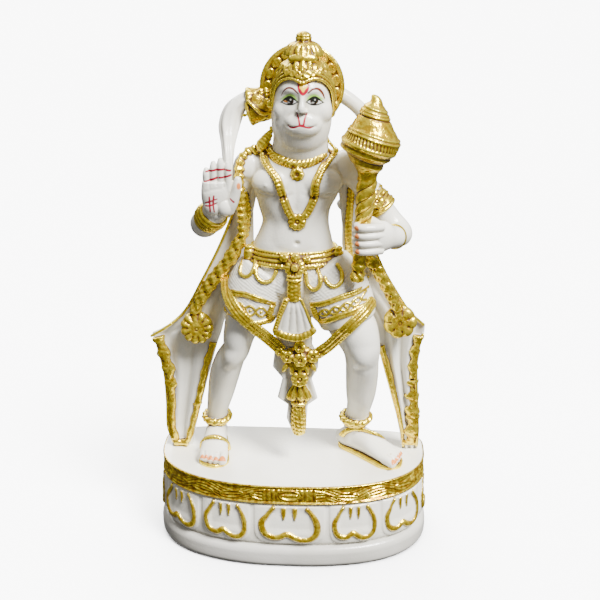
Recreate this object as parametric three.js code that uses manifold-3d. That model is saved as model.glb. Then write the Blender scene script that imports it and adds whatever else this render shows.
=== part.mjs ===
// A standing monkey-god figure with a mace, cast in one piece with its lotus plinth.
// Millimetres, +Z up, front towards -Y, origin at the middle of the plinth's underside.

import * as THREE from 'three';
import { mergeVertices } from 'three/addons/utils/BufferGeometryUtils.js';
import Module from 'manifold-3d';

// Driving dimensions, millimetres
const FIGURE_HEIGHT = 313;
const PLINTH_DEPTH = 95;
const PLINTH_RIM = 1.5;
const SLAB_HEIGHT = 16.5;
const PETAL_ROW_HEIGHT = 35.5;
const BAND_HEIGHT = 15;
const SLAB_OUTSET = 4.5;
const BAND_OUTSET = 1.2;
const EDGE_BEVEL = 1;
const FRONT_PETAL_WIDTH = 55;
const PETAL_SWELL = 3.2;
const PETAL_INSET = 0.5;
const LEAF_RELIEF = 1.8;
const BOSS_RELIEF = 3;
const SOLE_THICKNESS = 3.2;
const HALO_THICKNESS = 4;
const ROOTING = 1.5;
const PETAL_COUNT = 12;
const LEAF_COUNT = 16;
const OUTLINE_COUNT = 24;

// The pose is laid out in equal divisions of the figure's height, from the middle of the plinth's top.
const DIVISION_COUNT = 313;
const STANCE_DIVISION_COUNT = 96;
const SHARE = FIGURE_HEIGHT / DIVISION_COUNT;

const PLINTH_HEIGHT = SLAB_HEIGHT + PETAL_ROW_HEIGHT + BAND_HEIGHT;
const TOP_HALF_WIDTH = STANCE_DIVISION_COUNT * SHARE + PLINTH_RIM;
const TOP_HALF_DEPTH = PLINTH_DEPTH / 2 - SLAB_OUTSET;
const ACROSS = new THREE.Vector3(1, 0, 0);

const wasm = await Module();
wasm.setup();

/** A place on the figure, given in divisions of its height from the middle of the plinth's top. */
function place(x, y, z) {
  return new THREE.Vector3(x * SHARE, y * SHARE, z * SHARE + PLINTH_HEIGHT);
}

/** A closed geometry as a solid that can be joined and cut. */
function solid(geometry) {
  const plain = geometry.clone();
  plain.deleteAttribute('normal');
  plain.deleteAttribute('uv');
  const merged = mergeVertices(plain, 1e-4);
  return new wasm.Manifold(new wasm.Mesh({
    numProp: 3,
    vertProperties: new Float32Array(merged.attributes.position.array),
    triVerts: new Uint32Array(merged.index.array),
  }));
}

/** A closed geometry from rings of points, each ring with the same count, capped at both ends. */
function skin(rings) {
  const sides = rings[0].length;
  const points = rings.flat();
  const faces = [];
  for (let row = 0; row < rings.length - 1; row += 1) {
    for (let side = 0; side < sides; side += 1) {
      const next = (side + 1) % sides;
      const a = row * sides + side;
      const b = row * sides + next;
      faces.push(a, b, b + sides, a, b + sides, a + sides);
    }
  }
  for (const row of [0, rings.length - 1]) {
    const middle = rings[row].reduce((sum, p) => sum.add(p), new THREE.Vector3());
    points.push(middle.divideScalar(sides));
    for (let side = 0; side < sides; side += 1) {
      const a = row * sides + side;
      const b = row * sides + ((side + 1) % sides);
      const pair = row === 0 ? [b, a] : [a, b];
      faces.push(points.length - 1, ...pair);
    }
  }
  const geometry = new THREE.BufferGeometry().setFromPoints(points);
  geometry.setIndex(faces);
  return geometry;
}

/** A limb or body: an oval section carried along stations of [x, y, z, half width, half depth]. */
function limb(stations, sides = 8, start = ACROSS) {
  const centres = stations.map(([x, y, z]) => place(x, y, z));
  const last = centres.length - 1;
  let side = start.clone();
  const rings = centres.map((centre, i) => {
    const before = centres[Math.max(i - 1, 0)];
    const after = centres[Math.min(i + 1, last)];
    const along = after.clone().sub(before).normalize();
    side.addScaledVector(along, -side.dot(along)).normalize();
    const depth = along.clone().cross(side);
    const halfWidth = stations[i][3] * SHARE;
    const halfDepth = stations[i][4] * SHARE;
    return Array.from({ length: sides }, (_, k) => {
      const turn = (k / sides) * 2 * Math.PI;
      return centre.clone()
        .addScaledVector(side, Math.cos(turn) * halfWidth)
        .addScaledVector(depth, Math.sin(turn) * halfDepth);
    });
  });
  return solid(skin(rings));
}

/** A rounded lump with its own three radii. */
function lump(x, y, z, rx, ry, rz, sides = 6, rows = 3) {
  const ball = new THREE.SphereGeometry(1, sides, rows);
  ball.rotateX(Math.PI / 2);
  ball.scale(rx * SHARE, ry * SHARE, rz * SHARE);
  const centre = place(x, y, z);
  ball.translate(centre.x, centre.y, centre.z);
  return solid(ball);
}

/** A cord of round section through the given points. */
function cord(points, radius, sides = 4, steps = points.length * 2 - 2) {
  const path = new THREE.CatmullRomCurve3(points.map(([x, y, z]) => place(x, y, z)));
  const section = new THREE.Shape();
  section.absarc(0, 0, radius * SHARE, 0, 2 * Math.PI);
  return solid(new THREE.ExtrudeGeometry(section, {
    steps,
    extrudePath: path,
    curveSegments: sides / 2,
  }));
}

/** A turned form: a profile of [radius, distance] pairs spun about the line from foot to head. */
function turned(profile, foot, head, sides = 16) {
  const points = profile.map(([r, t]) => new THREE.Vector2(r * SHARE, t * SHARE));
  const lathe = new THREE.LatheGeometry(points, sides);
  const along = place(...head).sub(place(...foot)).normalize();
  const turn = new THREE.Quaternion().setFromUnitVectors(new THREE.Vector3(0, 1, 0), along);
  const at = place(...foot);
  lathe.applyMatrix4(new THREE.Matrix4().compose(at, turn, new THREE.Vector3(1, 1, 1)));
  return solid(lathe);
}

/** Hanging cloth: rows of [height, left, right, depth], pleated across and with two faces. */
function cloth(rows, { pleats, fold, thickness, columns = 6 }) {
  const rings = rows.map(([z, left, right, y]) => {
    const face = (sign) => Array.from({ length: columns + 1 }, (_, k) => {
      const t = k / columns;
      const wave = fold * Math.cos(t * pleats * 2 * Math.PI);
      return place(left + (right - left) * t, y + wave + sign * thickness / 2, z);
    });
    return [...face(-1), ...face(1).reverse()];
  });
  return solid(skin(rings.reverse()));
}

/** A flower facing the front: a scalloped disc with a raised heart. */
function flower(x, y, z, radius, petals) {
  const around = petals * 2;
  const levels = [[3, 0.9], [-1, 1], [-2.6, 0.5]];
  const rings = levels.map(([ahead, share]) => Array.from({ length: around }, (_, k) => {
    const turn = (k / around) * 2 * Math.PI;
    const scallop = 1 - 0.12 * (k % 2);
    const reach = radius * share * scallop;
    return place(x + Math.cos(turn) * reach, y + ahead * radius / 10, z + Math.sin(turn) * reach);
  }));
  return solid(skin(rings));
}

// Plinth

/** The plinth's outline, set out by the given amount: bowed in front, straighter behind. */
function outlinePoint(turn, outset) {
  const c = Math.cos(turn);
  const s = Math.sin(turn);
  const power = s < 0 ? 2 / 2.4 : 2 / 4.5;
  const middle = TOP_HALF_DEPTH / 3;
  const reach = s < 0 ? TOP_HALF_DEPTH + middle + outset : TOP_HALF_DEPTH - middle + outset;
  return new THREE.Vector2(
    Math.sign(c) * Math.abs(c) ** power * (TOP_HALF_WIDTH + outset),
    middle + Math.sign(s) * Math.abs(s) ** power * reach,
  );
}

/** The outline as fine steps, with the length walked up to each of them. */
function walkedOutline(outset) {
  const fineCount = 1440;
  const dense = Array.from({ length: fineCount + 1 },
    (_, k) => outlinePoint((k / fineCount) * 2 * Math.PI, outset));
  const runs = [0];
  for (let k = 1; k <= fineCount; k += 1) {
    runs.push(runs[k - 1] + dense[k].distanceTo(dense[k - 1]));
  }
  return { dense, runs, whole: runs[fineCount], front: runs[fineCount * 3 / 4] };
}

/** Places on the outline, by shares of its length from the front's middle, with their directions. */
function outlineSpots(shares, outset) {
  const { dense, runs, whole, front } = walkedOutline(outset);
  return shares.map((share) => {
    const want = (front + share * whole) % whole;
    const at = runs.findIndex((run) => run > want);
    const from = dense[at - 1];
    const to = dense[at];
    const between = (want - runs[at - 1]) / (runs[at] - runs[at - 1]);
    const along = to.clone().sub(from).normalize();
    return {
      point: from.clone().lerp(to, between),
      outward: new THREE.Vector2(along.y, -along.x),
      along,
    };
  });
}

/** Even shares of the outline's length. */
function evenShares(count, phase = 0) {
  return Array.from({ length: count }, (_, k) => (k + phase) / count);
}

/** The plinth's body: slab, waist, petal row and band in one stack of outlines. */
function plinthBody() {
  const bandFoot = SLAB_HEIGHT + PETAL_ROW_HEIGHT;
  const levels = [
    [0, SLAB_OUTSET * 0.5],
    [SLAB_HEIGHT * 0.5, SLAB_OUTSET],
    [SLAB_HEIGHT, 0],
    [bandFoot - EDGE_BEVEL, -PETAL_INSET],
    [bandFoot, BAND_OUTSET],
    [PLINTH_HEIGHT - EDGE_BEVEL, BAND_OUTSET],
    [PLINTH_HEIGHT, 0],
  ];
  const rings = levels.map(([z, outset]) => outlineSpots(evenShares(OUTLINE_COUNT), outset).map(
    ({ point }) => new THREE.Vector3(point.x, point.y, z),
  ));
  return solid(skin(rings));
}

/** One lotus petal hanging on the plinth's side, with a notched lower edge. */
function petal({ point, outward, along }, width, height) {
  const around = 8;
  const rings = [0, 0.78].map((share, level) => Array.from({ length: around }, (_, k) => {
    const turn = (k / around) * 2 * Math.PI;
    const low = Math.sin(turn) < 0 ? 1 : 0;
    const notch = 1 - 0.22 * low * Math.exp(-((Math.cos(turn) / 0.3) ** 2));
    const reach = Math.sqrt(1 - share * share * 0.96) * notch;
    const u = Math.sign(Math.cos(turn)) * Math.abs(Math.cos(turn)) ** 0.75 * reach * width / 2;
    const v = Math.sign(Math.sin(turn)) * Math.abs(Math.sin(turn)) ** 0.75 * reach * height / 2;
    const lean = -v * 0.12;
    const out = PETAL_SWELL * (level === 0 ? -1 : share) + lean;
    return new THREE.Vector3(
      point.x + along.x * u + outward.x * out,
      point.y + along.y * u + outward.y * out,
      SLAB_HEIGHT + PETAL_ROW_HEIGHT * 0.55 + v,
    );
  }));
  return solid(skin(rings));
}

/** The petal row: one wide petal in front, the rest evenly round the plinth. */
function petals() {
  const round = walkedOutline(0).whole;
  const front = FRONT_PETAL_WIDTH / round;
  const other = (1 - front) / (PETAL_COUNT - 1);
  const shares = Array.from({ length: PETAL_COUNT },
    (_, k) => (k === 0 ? 0 : front / 2 + (k - 0.5) * other));
  const height = PETAL_ROW_HEIGHT * 0.78;
  return outlineSpots(shares, 0)
    .map((spot, k) => petal(spot, (k === 0 ? front : other) * round * 0.92, height));
}

/** Leaf scrolls raised on the band's front and sides, and a boss in the middle. */
function bandCarving() {
  const z = PLINTH_HEIGHT - BAND_HEIGHT / 2;
  const boss = new THREE.SphereGeometry(1, 6, 4);
  boss.scale(BAND_HEIGHT * 0.42, BOSS_RELIEF, BAND_HEIGHT * 0.36);
  boss.translate(0, -TOP_HALF_DEPTH - BAND_OUTSET + BOSS_RELIEF / 4, z);
  const parts = [solid(boss)];
  const shares = evenShares(LEAF_COUNT, 0.5).filter((share) => Math.abs(share - 0.5) > 0.2);
  outlineSpots(shares, BAND_OUTSET - LEAF_RELIEF / 9).forEach(({ point, along }, k) => {
    const leaf = new THREE.OctahedronGeometry(1);
    leaf.scale(BAND_HEIGHT, LEAF_RELIEF, BAND_HEIGHT * 0.26);
    leaf.rotateY(k % 2 ? 0.24 : -0.24);
    leaf.rotateZ(Math.atan2(along.y, along.x));
    leaf.translate(point.x, point.y, z);
    parts.push(solid(leaf));
  });
  return parts;
}

// Legs and feet

/**
 * A foot in a sandal, from heel to toe. The big toe lies to the left of the way the foot points
 * where inner is 1, and to the right where it is -1.
 */
function foot(heel, toe, inner) {
  const [hx, hy] = heel;
  const dx = toe[0] - hx;
  const dy = toe[1] - hy;
  const length = Math.hypot(dx, dy);
  const ahead = [dx / length, dy / length];
  const aside = [-ahead[1] * inner, ahead[0] * inner];
  const spot = (s, w, z) => [hx + dx * s + aside[0] * w, hy + dy * s + aside[1] * w, z];
  const across = new THREE.Vector3(aside[0], aside[1], 0);
  const form = [
    [0.02, 0, 6, 4, 3.5],
    [0.12, 0, 8, 7, 7],
    [0.28, 0, 10.5, 7.8, 9.5],
    [0.45, 0, 10.5, 8.5, 9],
    [0.65, 0.4, 8, 9.8, 6],
    [0.84, 0.6, 5.6, 10.6, 4],
    [0.93, 1, 4.8, 8.5, 2.6],
  ].map(([s, w, z, halfWidth, halfHeight]) => [...spot(s, w, z), halfWidth, halfHeight]);
  const parts = [limb(form, 8, across)];
  [[4.5, 8, 3.4], [2, 3, 2.5], [0.5, -0.8, 2.3], [-1.5, -4.2, 2.1], [-3.8, -7.2, 1.9]]
    .forEach(([back, w, r]) => {
      const [x, y, z] = spot(0.9 + back / length / 2, w, 5);
      parts.push(lump(x, y, z, r * 1.2, r * 1.5, r, 4, 3));
    });
  const sole = new THREE.Shape();
  const outline = [[0, 0, 6.5], [0.3, 0, 8.2], [0.6, 0.6, 10], [0.86, 0.8, 11.6], [1.0, 1.5, 6]];
  const left = outline.map(([s, w, half]) => spot(s, w + half, 0));
  const right = outline.map(([s, w, half]) => spot(s, w - half, 0)).reverse();
  sole.setFromPoints([...left, ...right].map(([x, y]) => new THREE.Vector2(x * SHARE, y * SHARE)));
  const depth = SOLE_THICKNESS + ROOTING;
  const slab = new THREE.ExtrudeGeometry(sole, { depth, bevelEnabled: false });
  slab.translate(0, 0, PLINTH_HEIGHT - ROOTING);
  parts.push(solid(slab));
  return parts;
}

/** The leg on the raised hand's side, straight and set back. */
function straightLeg() {
  return [
    limb([
      [-30, -6, 125, 15.5, 16], [-37.3, -8, 103, 11.2, 13], [-40, -7, 90.5, 9.7, 11.5],
      [-46, -1, 79, 10.5, 12], [-50, 4, 65, 10.7, 12], [-53.7, 9, 48, 9.7, 10.5],
      [-57.3, 14.8, 31, 7.9, 8.5], [-58.5, 17, 9, 7.5, 9],
    ]),
    ...foot([-58.5, 30], [-58.5, -22], 1),
  ];
}

/** The leg on the mace's side, stepping out with its foot turned. */
function steppingLeg() {
  return [
    limb([
      [35, -8, 124, 17, 17], [45, -12, 108, 16, 16.5], [49, -13, 97, 13.3, 14.5],
      [50, -9, 84, 11.8, 12.8], [50.3, -3, 71, 11.6, 12.5], [50, 3, 54, 10.8, 11.2],
      [49.3, 9, 41, 9.3, 9.5], [47.2, 13.5, 27, 8.1, 8.8], [45, 14, 9, 8, 9],
    ]),
    ...foot([35, 21.5], [81, -12.5], -1),
  ];
}

/** Rings at the ankles. */
function anklets() {
  return [
    limb([[-57.3, 14.5, 21, 10, 10.6], [-56.8, 14, 26, 10, 10.6]]),
    limb([[46.4, 13.3, 25, 11.5, 11], [47.2, 12.7, 30, 11.5, 11]]),
  ];
}

/** The short trousers with a cuff on each thigh. */
function trousers() {
  return [
    limb([
      [1, -2, 158, 32, 20], [2, -2, 148, 38, 21], [3, -3, 138, 41, 20], [3, -4, 128, 30, 15],
    ], 10),
    limb([[-18, -4, 146, 21, 19], [-25, -6, 135, 20.5, 19], [-28, -7, 124, 18.6, 18.3],
      [-30, -8, 116.5, 17.5, 17.5]]),
    limb([[20, -5, 147, 24, 19.5], [30, -8, 135, 24, 20.5], [36.5, -10, 125, 21, 19.8],
      [40, -11, 116, 19.3, 18.8]]),
  ];
}

// Body, arms and head

/** Trunk, chest, shoulders and neck. */
function trunk() {
  return [
    limb([
      [1, -3, 165, 29.5, 18], [1.9, -3, 176, 25.6, 16.5], [2.3, -3, 187, 22.7, 15.3],
      [1.8, -2, 203, 26.5, 17], [3.5, -1, 220, 31, 16.5], [4.4, 0, 229, 28, 13.5], [5, 0, 236, 19, 12],
    ], 10),
    lump(-12, -12, 213, 15, 8.5, 11),
    lump(18, -12, 213, 15, 8.5, 11),
    lump(-29, 3, 221, 11.5, 11, 12),
    lump(36, 3, 222, 12, 11, 12.5),
    limb([[5, -1, 230, 18.5, 13.5], [5.5, -3, 246, 16.5, 14]], 8),
    limb([[4, 9, 236, 14, 6], [4, 12, 226, 34, 5.5], [4, 12.5, 212, 33, 5], [3, 12, 202, 24, 4]], 8),
  ];
}

/** The raised arm with its open hand, the palm to the front. */
function raisedArm() {
  const parts = [
    limb([
      [-29, 3, 223, 10, 10], [-37, 5, 208, 9.3, 9.5], [-47, 7, 194, 9, 9.3], [-57, 7, 184.5, 9.3, 9.5],
      [-61.5, 0, 181.5, 9.8, 9.8], [-57, -12, 186, 10, 9.8], [-49, -25, 200, 8.6, 7.6],
    ]),
    limb([[-55.5, -19.5, 191.5, 10.6, 9.2], [-48, -25.6, 197.5, 10.6, 9.2]], 7),
    limb([[-48.5, -26.5, 200, 8.5, 6.5], [-47.3, -28, 207, 11, 5.6], [-46.8, -29, 215, 11.5, 4.8],
      [-46.3, -29.5, 221, 11, 3.6]]),
    limb([[-40, -27.5, 202, 5, 5], [-36, -29, 210, 4, 4], [-34.3, -30, 217, 3, 3],
      [-33.8, -30, 223, 1.6, 1.6]], 5),
  ];
  [[-54.6, 228.5], [-49.8, 233], [-44.9, 235], [-40, 232.5]].forEach(([x, tip]) => {
    parts.push(limb([[x * 0.98 - 0.9, -29.5, 217, 2.7, 2.8], [x, -30, tip - 2, 2.3, 2.2],
      [x, -29.8, tip, 1.1, 1]], 5));
  });
  return parts;
}

/** The arm that holds the mace, bent at the elbow, with its fist round the shaft. */
function maceArm() {
  const parts = [
    limb([
      [37, 3, 224, 10, 10], [57.6, 5, 194, 9.4, 9.4], [66.6, 4.5, 183.4, 9.2, 9.2],
      [74, -1, 177, 8.6, 8.6], [68.5, -16, 178.5, 7.6, 7.4], [61, -26, 182.5, 8, 7],
    ]),
    limb([[69.8, -14, 178.2, 8.8, 8.8], [67, -18, 179.4, 8.8, 8.8]], 7),
    limb([[52.6, 4.6, 201.6, 10.2, 10.2], [58.8, 5, 193.4, 10.4, 10.4]], 6),
    lump(58, -29, 184.4, 9.6, 8.4, 12),
  ];
  for (let finger = 0; finger < 4; finger += 1) {
    const z = 192 - finger * 5.3;
    parts.push(lump(51, -34.5, z, 12.5, 5.6, 3.2, 6, 3));
  }
  return parts;
}

/** Head with its long muzzle, brow and cheeks. */
function head() {
  return [
    limb([
      [5.3, -4, 238, 14, 12], [5.6, -6, 243.5, 17.6, 16.5], [6, -6, 252, 19.6, 18.8],
      [6.5, -5, 262, 19.8, 18.8], [7, -4, 272, 19.5, 19.3], [7.2, -3, 281, 16.5, 17],
      [7.3, -2, 288, 9, 9],
    ], 12),
    lump(7, -17, 255, 13.2, 10, 11.2, 8, 5),
    lump(7.2, -23.5, 265.5, 4.6, 3.6, 4.2, 6, 4),
  ];
}

/** Crown: helmet, narrow neck, overhanging cap and knob. */
function crown() {
  const centre = [7.3, -2.5];
  const tiers = [
    [258, 20.4], [272, 21.2], [281, 19.4], [287, 16.8], [292, 14], [295, 10.9], [297.2, 12.2],
    [301.4, 11.2], [304.3, 8.8], [305.8, 5.2], [308, 5.1], [310.5, 4.2],
  ];
  const shell = limb([...tiers.map(([z, r]) => [centre[0], centre[1], z, r, r]),
    [centre[0], centre[1], 312.4, 1.6, 1.6]], 12);
  const face = limb([
    [6.6, -30, 250, 19.5, 16], [6.8, -30, 268, 19.5, 16], [7.2, -30, 280.5, 11, 15],
  ], 8);
  return [shell.subtract(face)];
}

/** The halo disc with raised rings, its lower part behind the head. */
function halo() {
  const half = HALO_THICKNESS / SHARE / 2;
  return [turned([
    [0, -half], [27, -half], [28.7, 0], [27, half], [25, half * 0.3], [0, half * 0.3],
  ], [5.6, 16, 273.7], [5.6, 0, 273.7], 18)];
}

// Tail, mace and cloth

/** The tail: out of the cloak behind one shoulder, over behind the halo, down to its tuft. */
function tail() {
  return [
    cord([
      [34, 11, 192], [44, 14, 202], [51.5, 18, 214], [54, 20.5, 228], [52, 20.5, 243.5],
      [45.4, 20.5, 256.4], [31.8, 20.5, 267.2], [18, 20.5, 274], [4, 20.5, 276], [-9, 20, 273],
      [-20, 18, 267],
    ], 4.9, 6, 10),
    turned([[0, -3], [5.6, -3], [6.4, 2], [5.4, 6], [5.8, 11], [7, 14.2], [0, 15.6]],
      [-16.5, 17, 267.2], [-32.2, 16, 265], 8),
    limb([
      [-29, 16, 266.8, 4, 4], [-35, 16, 262.6, 5, 5], [-40.2, 15.5, 256.4, 6.8, 6],
      [-43.2, 11.5, 247.4, 7.1, 6], [-43.6, 5, 240, 5.5, 5.2], [-43, -3, 233, 4, 4],
      [-42.5, -12, 216, 3, 3],
    ]),
    limb([[-23, 14, 266, 5.6, 4.5], [-23.8, 13, 259, 8.6, 6], [-24.4, 12, 254, 7.6, 5.2],
      [-26.2, 11.5, 250.4, 3.6, 3.2], [-27.4, 11, 247.8, 0.8, 0.8]], 6),
  ];
}

/** The mace: knotted foot, shaft, ringed neck, swelling head and bent tip. */
function mace() {
  const shaftFoot = [44.8, -30, 151.7];
  const headTop = [52.8, -24.6, 264];
  return [
    turned([
      [0, 0], [4.6, 3], [3.7, 8], [4.8, 11], [4.2, 16], [5.4, 46], [6.5, 71.5], [8.9, 77.6],
      [11.6, 81.8], [16.9, 87.6], [19, 92.5], [17.7, 97.6], [14, 103.5], [12.1, 107.4], [9.8, 111.3],
      [6.6, 117], [0, 119.5],
    ], shaftFoot, headTop, 10),
    limb([[52.6, -24.5, 265, 7.6, 7.4], [53.2, -24.4, 268.4, 6.4, 6.2], [53.8, -24.3, 271, 4.8, 4.6],
      [53.4, -24.2, 274, 3, 2.8], [52.6, -24, 275.8, 1.2, 1.2]], 6),
  ];
}

/** The shawl: a strip down each side from the shoulder, flaring to a pointed fall on the plinth. */
function shawl() {
  const left = cloth([
    [236, -20, -8, 4], [228, -33, -12, 3], [214, -35, -22, 3], [190, -40, -27, 3], [167, -49, -25, 4],
    [135, -66, -36, 6], [111, -80, -48, 8], [102, -90, -50.5, 9], [95, -103.4, -52.5, 10],
    [86, -100, -55.5, 10], [63, -95.5, -62, 10], [18, -95.8, -73.5, 12], [-ROOTING, -93, -77, 13],
  ], { pleats: 1, fold: 2, thickness: 6, columns: 3 });
  const right = cloth([
    [234, 17, 30, 4], [228, 20, 43, 3], [214, 30, 45, 3], [180, 34, 51, 3], [167, 34, 56, 4],
    [135, 40, 72, 6], [120, 52, 81, 7], [111, 57, 87, 8], [105.5, 58.5, 95, 9], [98, 60, 94.5, 10],
    [72, 66, 91, 12], [38, 75, 93.3, 14.5], [-ROOTING, 82, 94.3, 17],
  ], { pleats: 2, fold: 1.8, thickness: 6, columns: 4 });
  return [left, right];
}

/** Rolled gold borders of the shawl with a rosette at the end of each. */
function shawlBorders() {
  return [
    cord([[-17.6, -3, 236], [-31, -5, 229], [-34.2, -6, 220], [-33, -6, 201], [-31.4, -6, 190],
      [-32.7, -5, 176]], 2.5, 4, 6),
    cord([[-32.7, -5, 176], [-41.4, -4, 160.4], [-54.1, -2, 142.7], [-65.3, 0, 125.5],
      [-72, 1, 112]], 4, 6, 5),
    cord([[40.5, -5, 217], [39.1, -5, 198.6], [38.2, -5, 177.3], [40.1, -5, 152]], 2.3, 4, 3),
    cord([[47.3, -8, 163], [54.9, -7, 159.6], [62.8, -5, 145.9], [70.3, -2, 130.4],
      [75, 0, 118]], 3.8, 6, 5),
    flower(-68.2, 0, 103.9, 11, 6),
    flower(76, 1, 112.2, 11, 6),
  ];
}

/** The sash that swings across both thighs to a cluster of flowers and a long tassel. */
function sash() {
  return [
    cord([[-45.5, -6, 142], [-42, -15, 133], [-34, -22.5, 124.5], [-24, -24, 114], [-15, -20, 104.5],
      [-5, -18, 94]], 4.2, 4, 5),
    cord([[55.5, -14, 132], [49, -23, 128], [40, -27.5, 119.5], [32, -26, 109], [25, -21, 99.5],
      [16, -18, 91]], 4.2, 4, 5),
    cloth([
      [124, -10, 14, -12], [99, -11.5, 14.5, -13.5], [89, -12.5, 19.5, -13.5],
      [80, -13.5, 19, -13], [71, -6.3, 14.5, -12.5], [55, -10.3, 19, -11.5],
      [49.5, -2.7, 11.8, -11], [38, -3.8, 11, -10.5], [25.5, 1, 9, -10],
    ], { pleats: 1, fold: 0.8, thickness: 5, columns: 2 }),
    flower(6.1, -15.5, 73, 6.6, 5),
    limb([[5.6, -13, 66, 5, 4], [5.4, -14, 60, 9.5, 4], [5.4, -13.5, 53.5, 9, 3.4],
      [5.4, -13.5, 51, 5, 4]], 6),
    limb([[5.4, -13.5, 54, 4, 3.6], [5.2, -13, 44, 5.4, 4.2], [5.2, -12.5, 34, 5.8, 4.4],
      [5.4, -12, 26, 4.6, 3.6]], 6),
    flower(6.3, -16.5, 91.5, 11.5, 5),
  ];
}

/** Belt with its flower, tab and pleated apron. */
function belt() {
  return [
    limb([[1, -2, 155.5, 34.2, 21.6], [1, -2, 168, 32, 20.4]], 14),
    flower(3.8, -23, 159, 6.4, 5),
    lump(-5.5, -22, 164, 3.7, 3, 3.7),
    lump(12.5, -22, 163, 3.7, 3, 3.7),
    limb([[2.6, -23, 154, 4.2, 2.6], [2.3, -24.5, 136, 4.6, 2.8]], 6),
    cloth([[137, -2.4, 7, -24], [126, -6, 11, -23], [116, -9, 14.5, -22.5], [110, -10.8, 16.2, -22.5]],
      { pleats: 3, fold: 0.9, thickness: 4, columns: 6 }),
  ];
}

/** Necklaces: a short collar with a round drop and a long double cord with a flower. */
function necklaces() {
  return [
    cord([[-15.5, -4, 236.5], [-9, -13, 232], [0, -16.5, 229.5], [8, -17, 229.3], [16, -14.5, 231.5],
      [22, -6, 235]], 2.8, 4, 5),
    flower(4, -18, 221, 5.2, 5),
    cord([[-19, -7, 234], [-15.5, -16, 228], [-8.5, -20.5, 218], [-4.5, -20, 205],
      [1, -18, 194]], 2.1, 4, 5),
    cord([[28, -9, 233], [21, -17, 226], [15.5, -20.5, 216], [13.8, -20, 205],
      [8, -18, 194]], 2.1, 4, 5),
    flower(4.4, -18.5, 189, 6.2, 5),
  ];
}

const pieces = [
  plinthBody(), ...petals(), ...bandCarving(), ...straightLeg(), ...steppingLeg(), ...anklets(),
  ...trousers(), ...trunk(), ...raisedArm(), ...maceArm(), ...head(), ...crown(), ...halo(), ...tail(),
  ...mace(), ...shawl(), ...shawlBorders(), ...sash(), ...belt(), ...necklaces(),
];

/** The joined figure as a geometry that shades and exports. */
function joined(list) {
  const whole = wasm.Manifold.union(list);
  const mesh = whole.getMesh();
  const geometry = new THREE.BufferGeometry();
  geometry.setAttribute('position', new THREE.BufferAttribute(mesh.vertProperties, 3));
  geometry.setIndex(new THREE.BufferAttribute(mesh.triVerts, 1));
  geometry.computeVertexNormals();
  return geometry;
}

const paint = new THREE.MeshStandardMaterial({ color: 0xf1f0ec, roughness: 0.25, metalness: 0 });
const statue = new THREE.Mesh(joined(pieces), paint);
statue.name = 'statue';

const model = new THREE.Group();
model.add(statue);

export default model;
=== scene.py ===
"""Looks of a standing monkey-god figure with a mace, cast in one piece with its lotus plinth.

The casting is built region by region from closed forms that are pressed together, cast into one skin,
carved with small brushes and then painted: white enamel, gold paint and a few fine brush lines.
Shapes are laid out in millimetres: +X towards the mace, -Y towards the viewer, Z up from the plinth's top.
"""
import logging
import math
from dataclasses import dataclass, field
from enum import Enum
from typing import Callable, Sequence

import bmesh
import bpy
import numpy as np
from mathutils import Matrix, Vector
from mathutils.bvhtree import BVHTree
from mathutils.kdtree import KDTree


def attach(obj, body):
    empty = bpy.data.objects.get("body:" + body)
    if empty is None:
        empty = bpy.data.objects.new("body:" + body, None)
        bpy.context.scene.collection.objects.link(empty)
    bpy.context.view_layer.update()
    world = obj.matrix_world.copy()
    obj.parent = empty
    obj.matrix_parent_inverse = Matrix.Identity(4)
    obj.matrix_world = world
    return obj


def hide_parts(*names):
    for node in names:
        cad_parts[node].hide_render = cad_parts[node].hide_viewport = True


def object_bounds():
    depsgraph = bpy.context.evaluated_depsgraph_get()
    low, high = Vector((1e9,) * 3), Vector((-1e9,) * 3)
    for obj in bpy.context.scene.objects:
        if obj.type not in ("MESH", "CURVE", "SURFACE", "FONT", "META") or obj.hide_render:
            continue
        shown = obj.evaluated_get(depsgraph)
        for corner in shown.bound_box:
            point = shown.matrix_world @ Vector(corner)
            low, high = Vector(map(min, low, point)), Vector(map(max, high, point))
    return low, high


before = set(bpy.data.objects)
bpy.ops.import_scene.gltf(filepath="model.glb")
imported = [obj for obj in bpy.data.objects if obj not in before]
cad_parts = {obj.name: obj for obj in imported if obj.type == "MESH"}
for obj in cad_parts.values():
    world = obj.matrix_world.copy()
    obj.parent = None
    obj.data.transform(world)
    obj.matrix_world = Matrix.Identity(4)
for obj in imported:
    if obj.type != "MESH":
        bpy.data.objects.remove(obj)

log = logging.getLogger("statue")

MM = 0.001
CAD_LOW, CAD_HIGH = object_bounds()
FIGURE_HEIGHT = 312.4
PLINTH_HEIGHT = CAD_HIGH.z / MM - FIGURE_HEIGHT
ACROSS = np.array((1.0, 0.0, 0.0))
BACKWARD = np.array((0.0, 1.0, 0.0))
FORWARD = np.array((0.0, -1.0, 0.0))
UP = np.array((0.0, 0.0, 1.0))
WELD = 1e-4
TINY = 1e-12
DOME_ROWS = 6
CLEAR_OF_FIGURE = 200.0
GILDING_REACH = 1.5
PAINT_EDGE = 0.12
SLOT = "white_enamel"

Points = np.ndarray
Relief = Callable[[np.ndarray, np.ndarray], np.ndarray]
Colour = tuple[float, float, float]


class Pot(Enum):
    """Which paint a pressed form is finished in."""

    WHITE = "white"
    GOLD = "gold"


class Weave(Enum):
    """How the surface of a cord or border is worked."""

    PLAIN = "plain"
    ROPE = "rope"
    BEADS = "beads"
    KNOTS = "knots"
    HATCH = "hatch"


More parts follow.
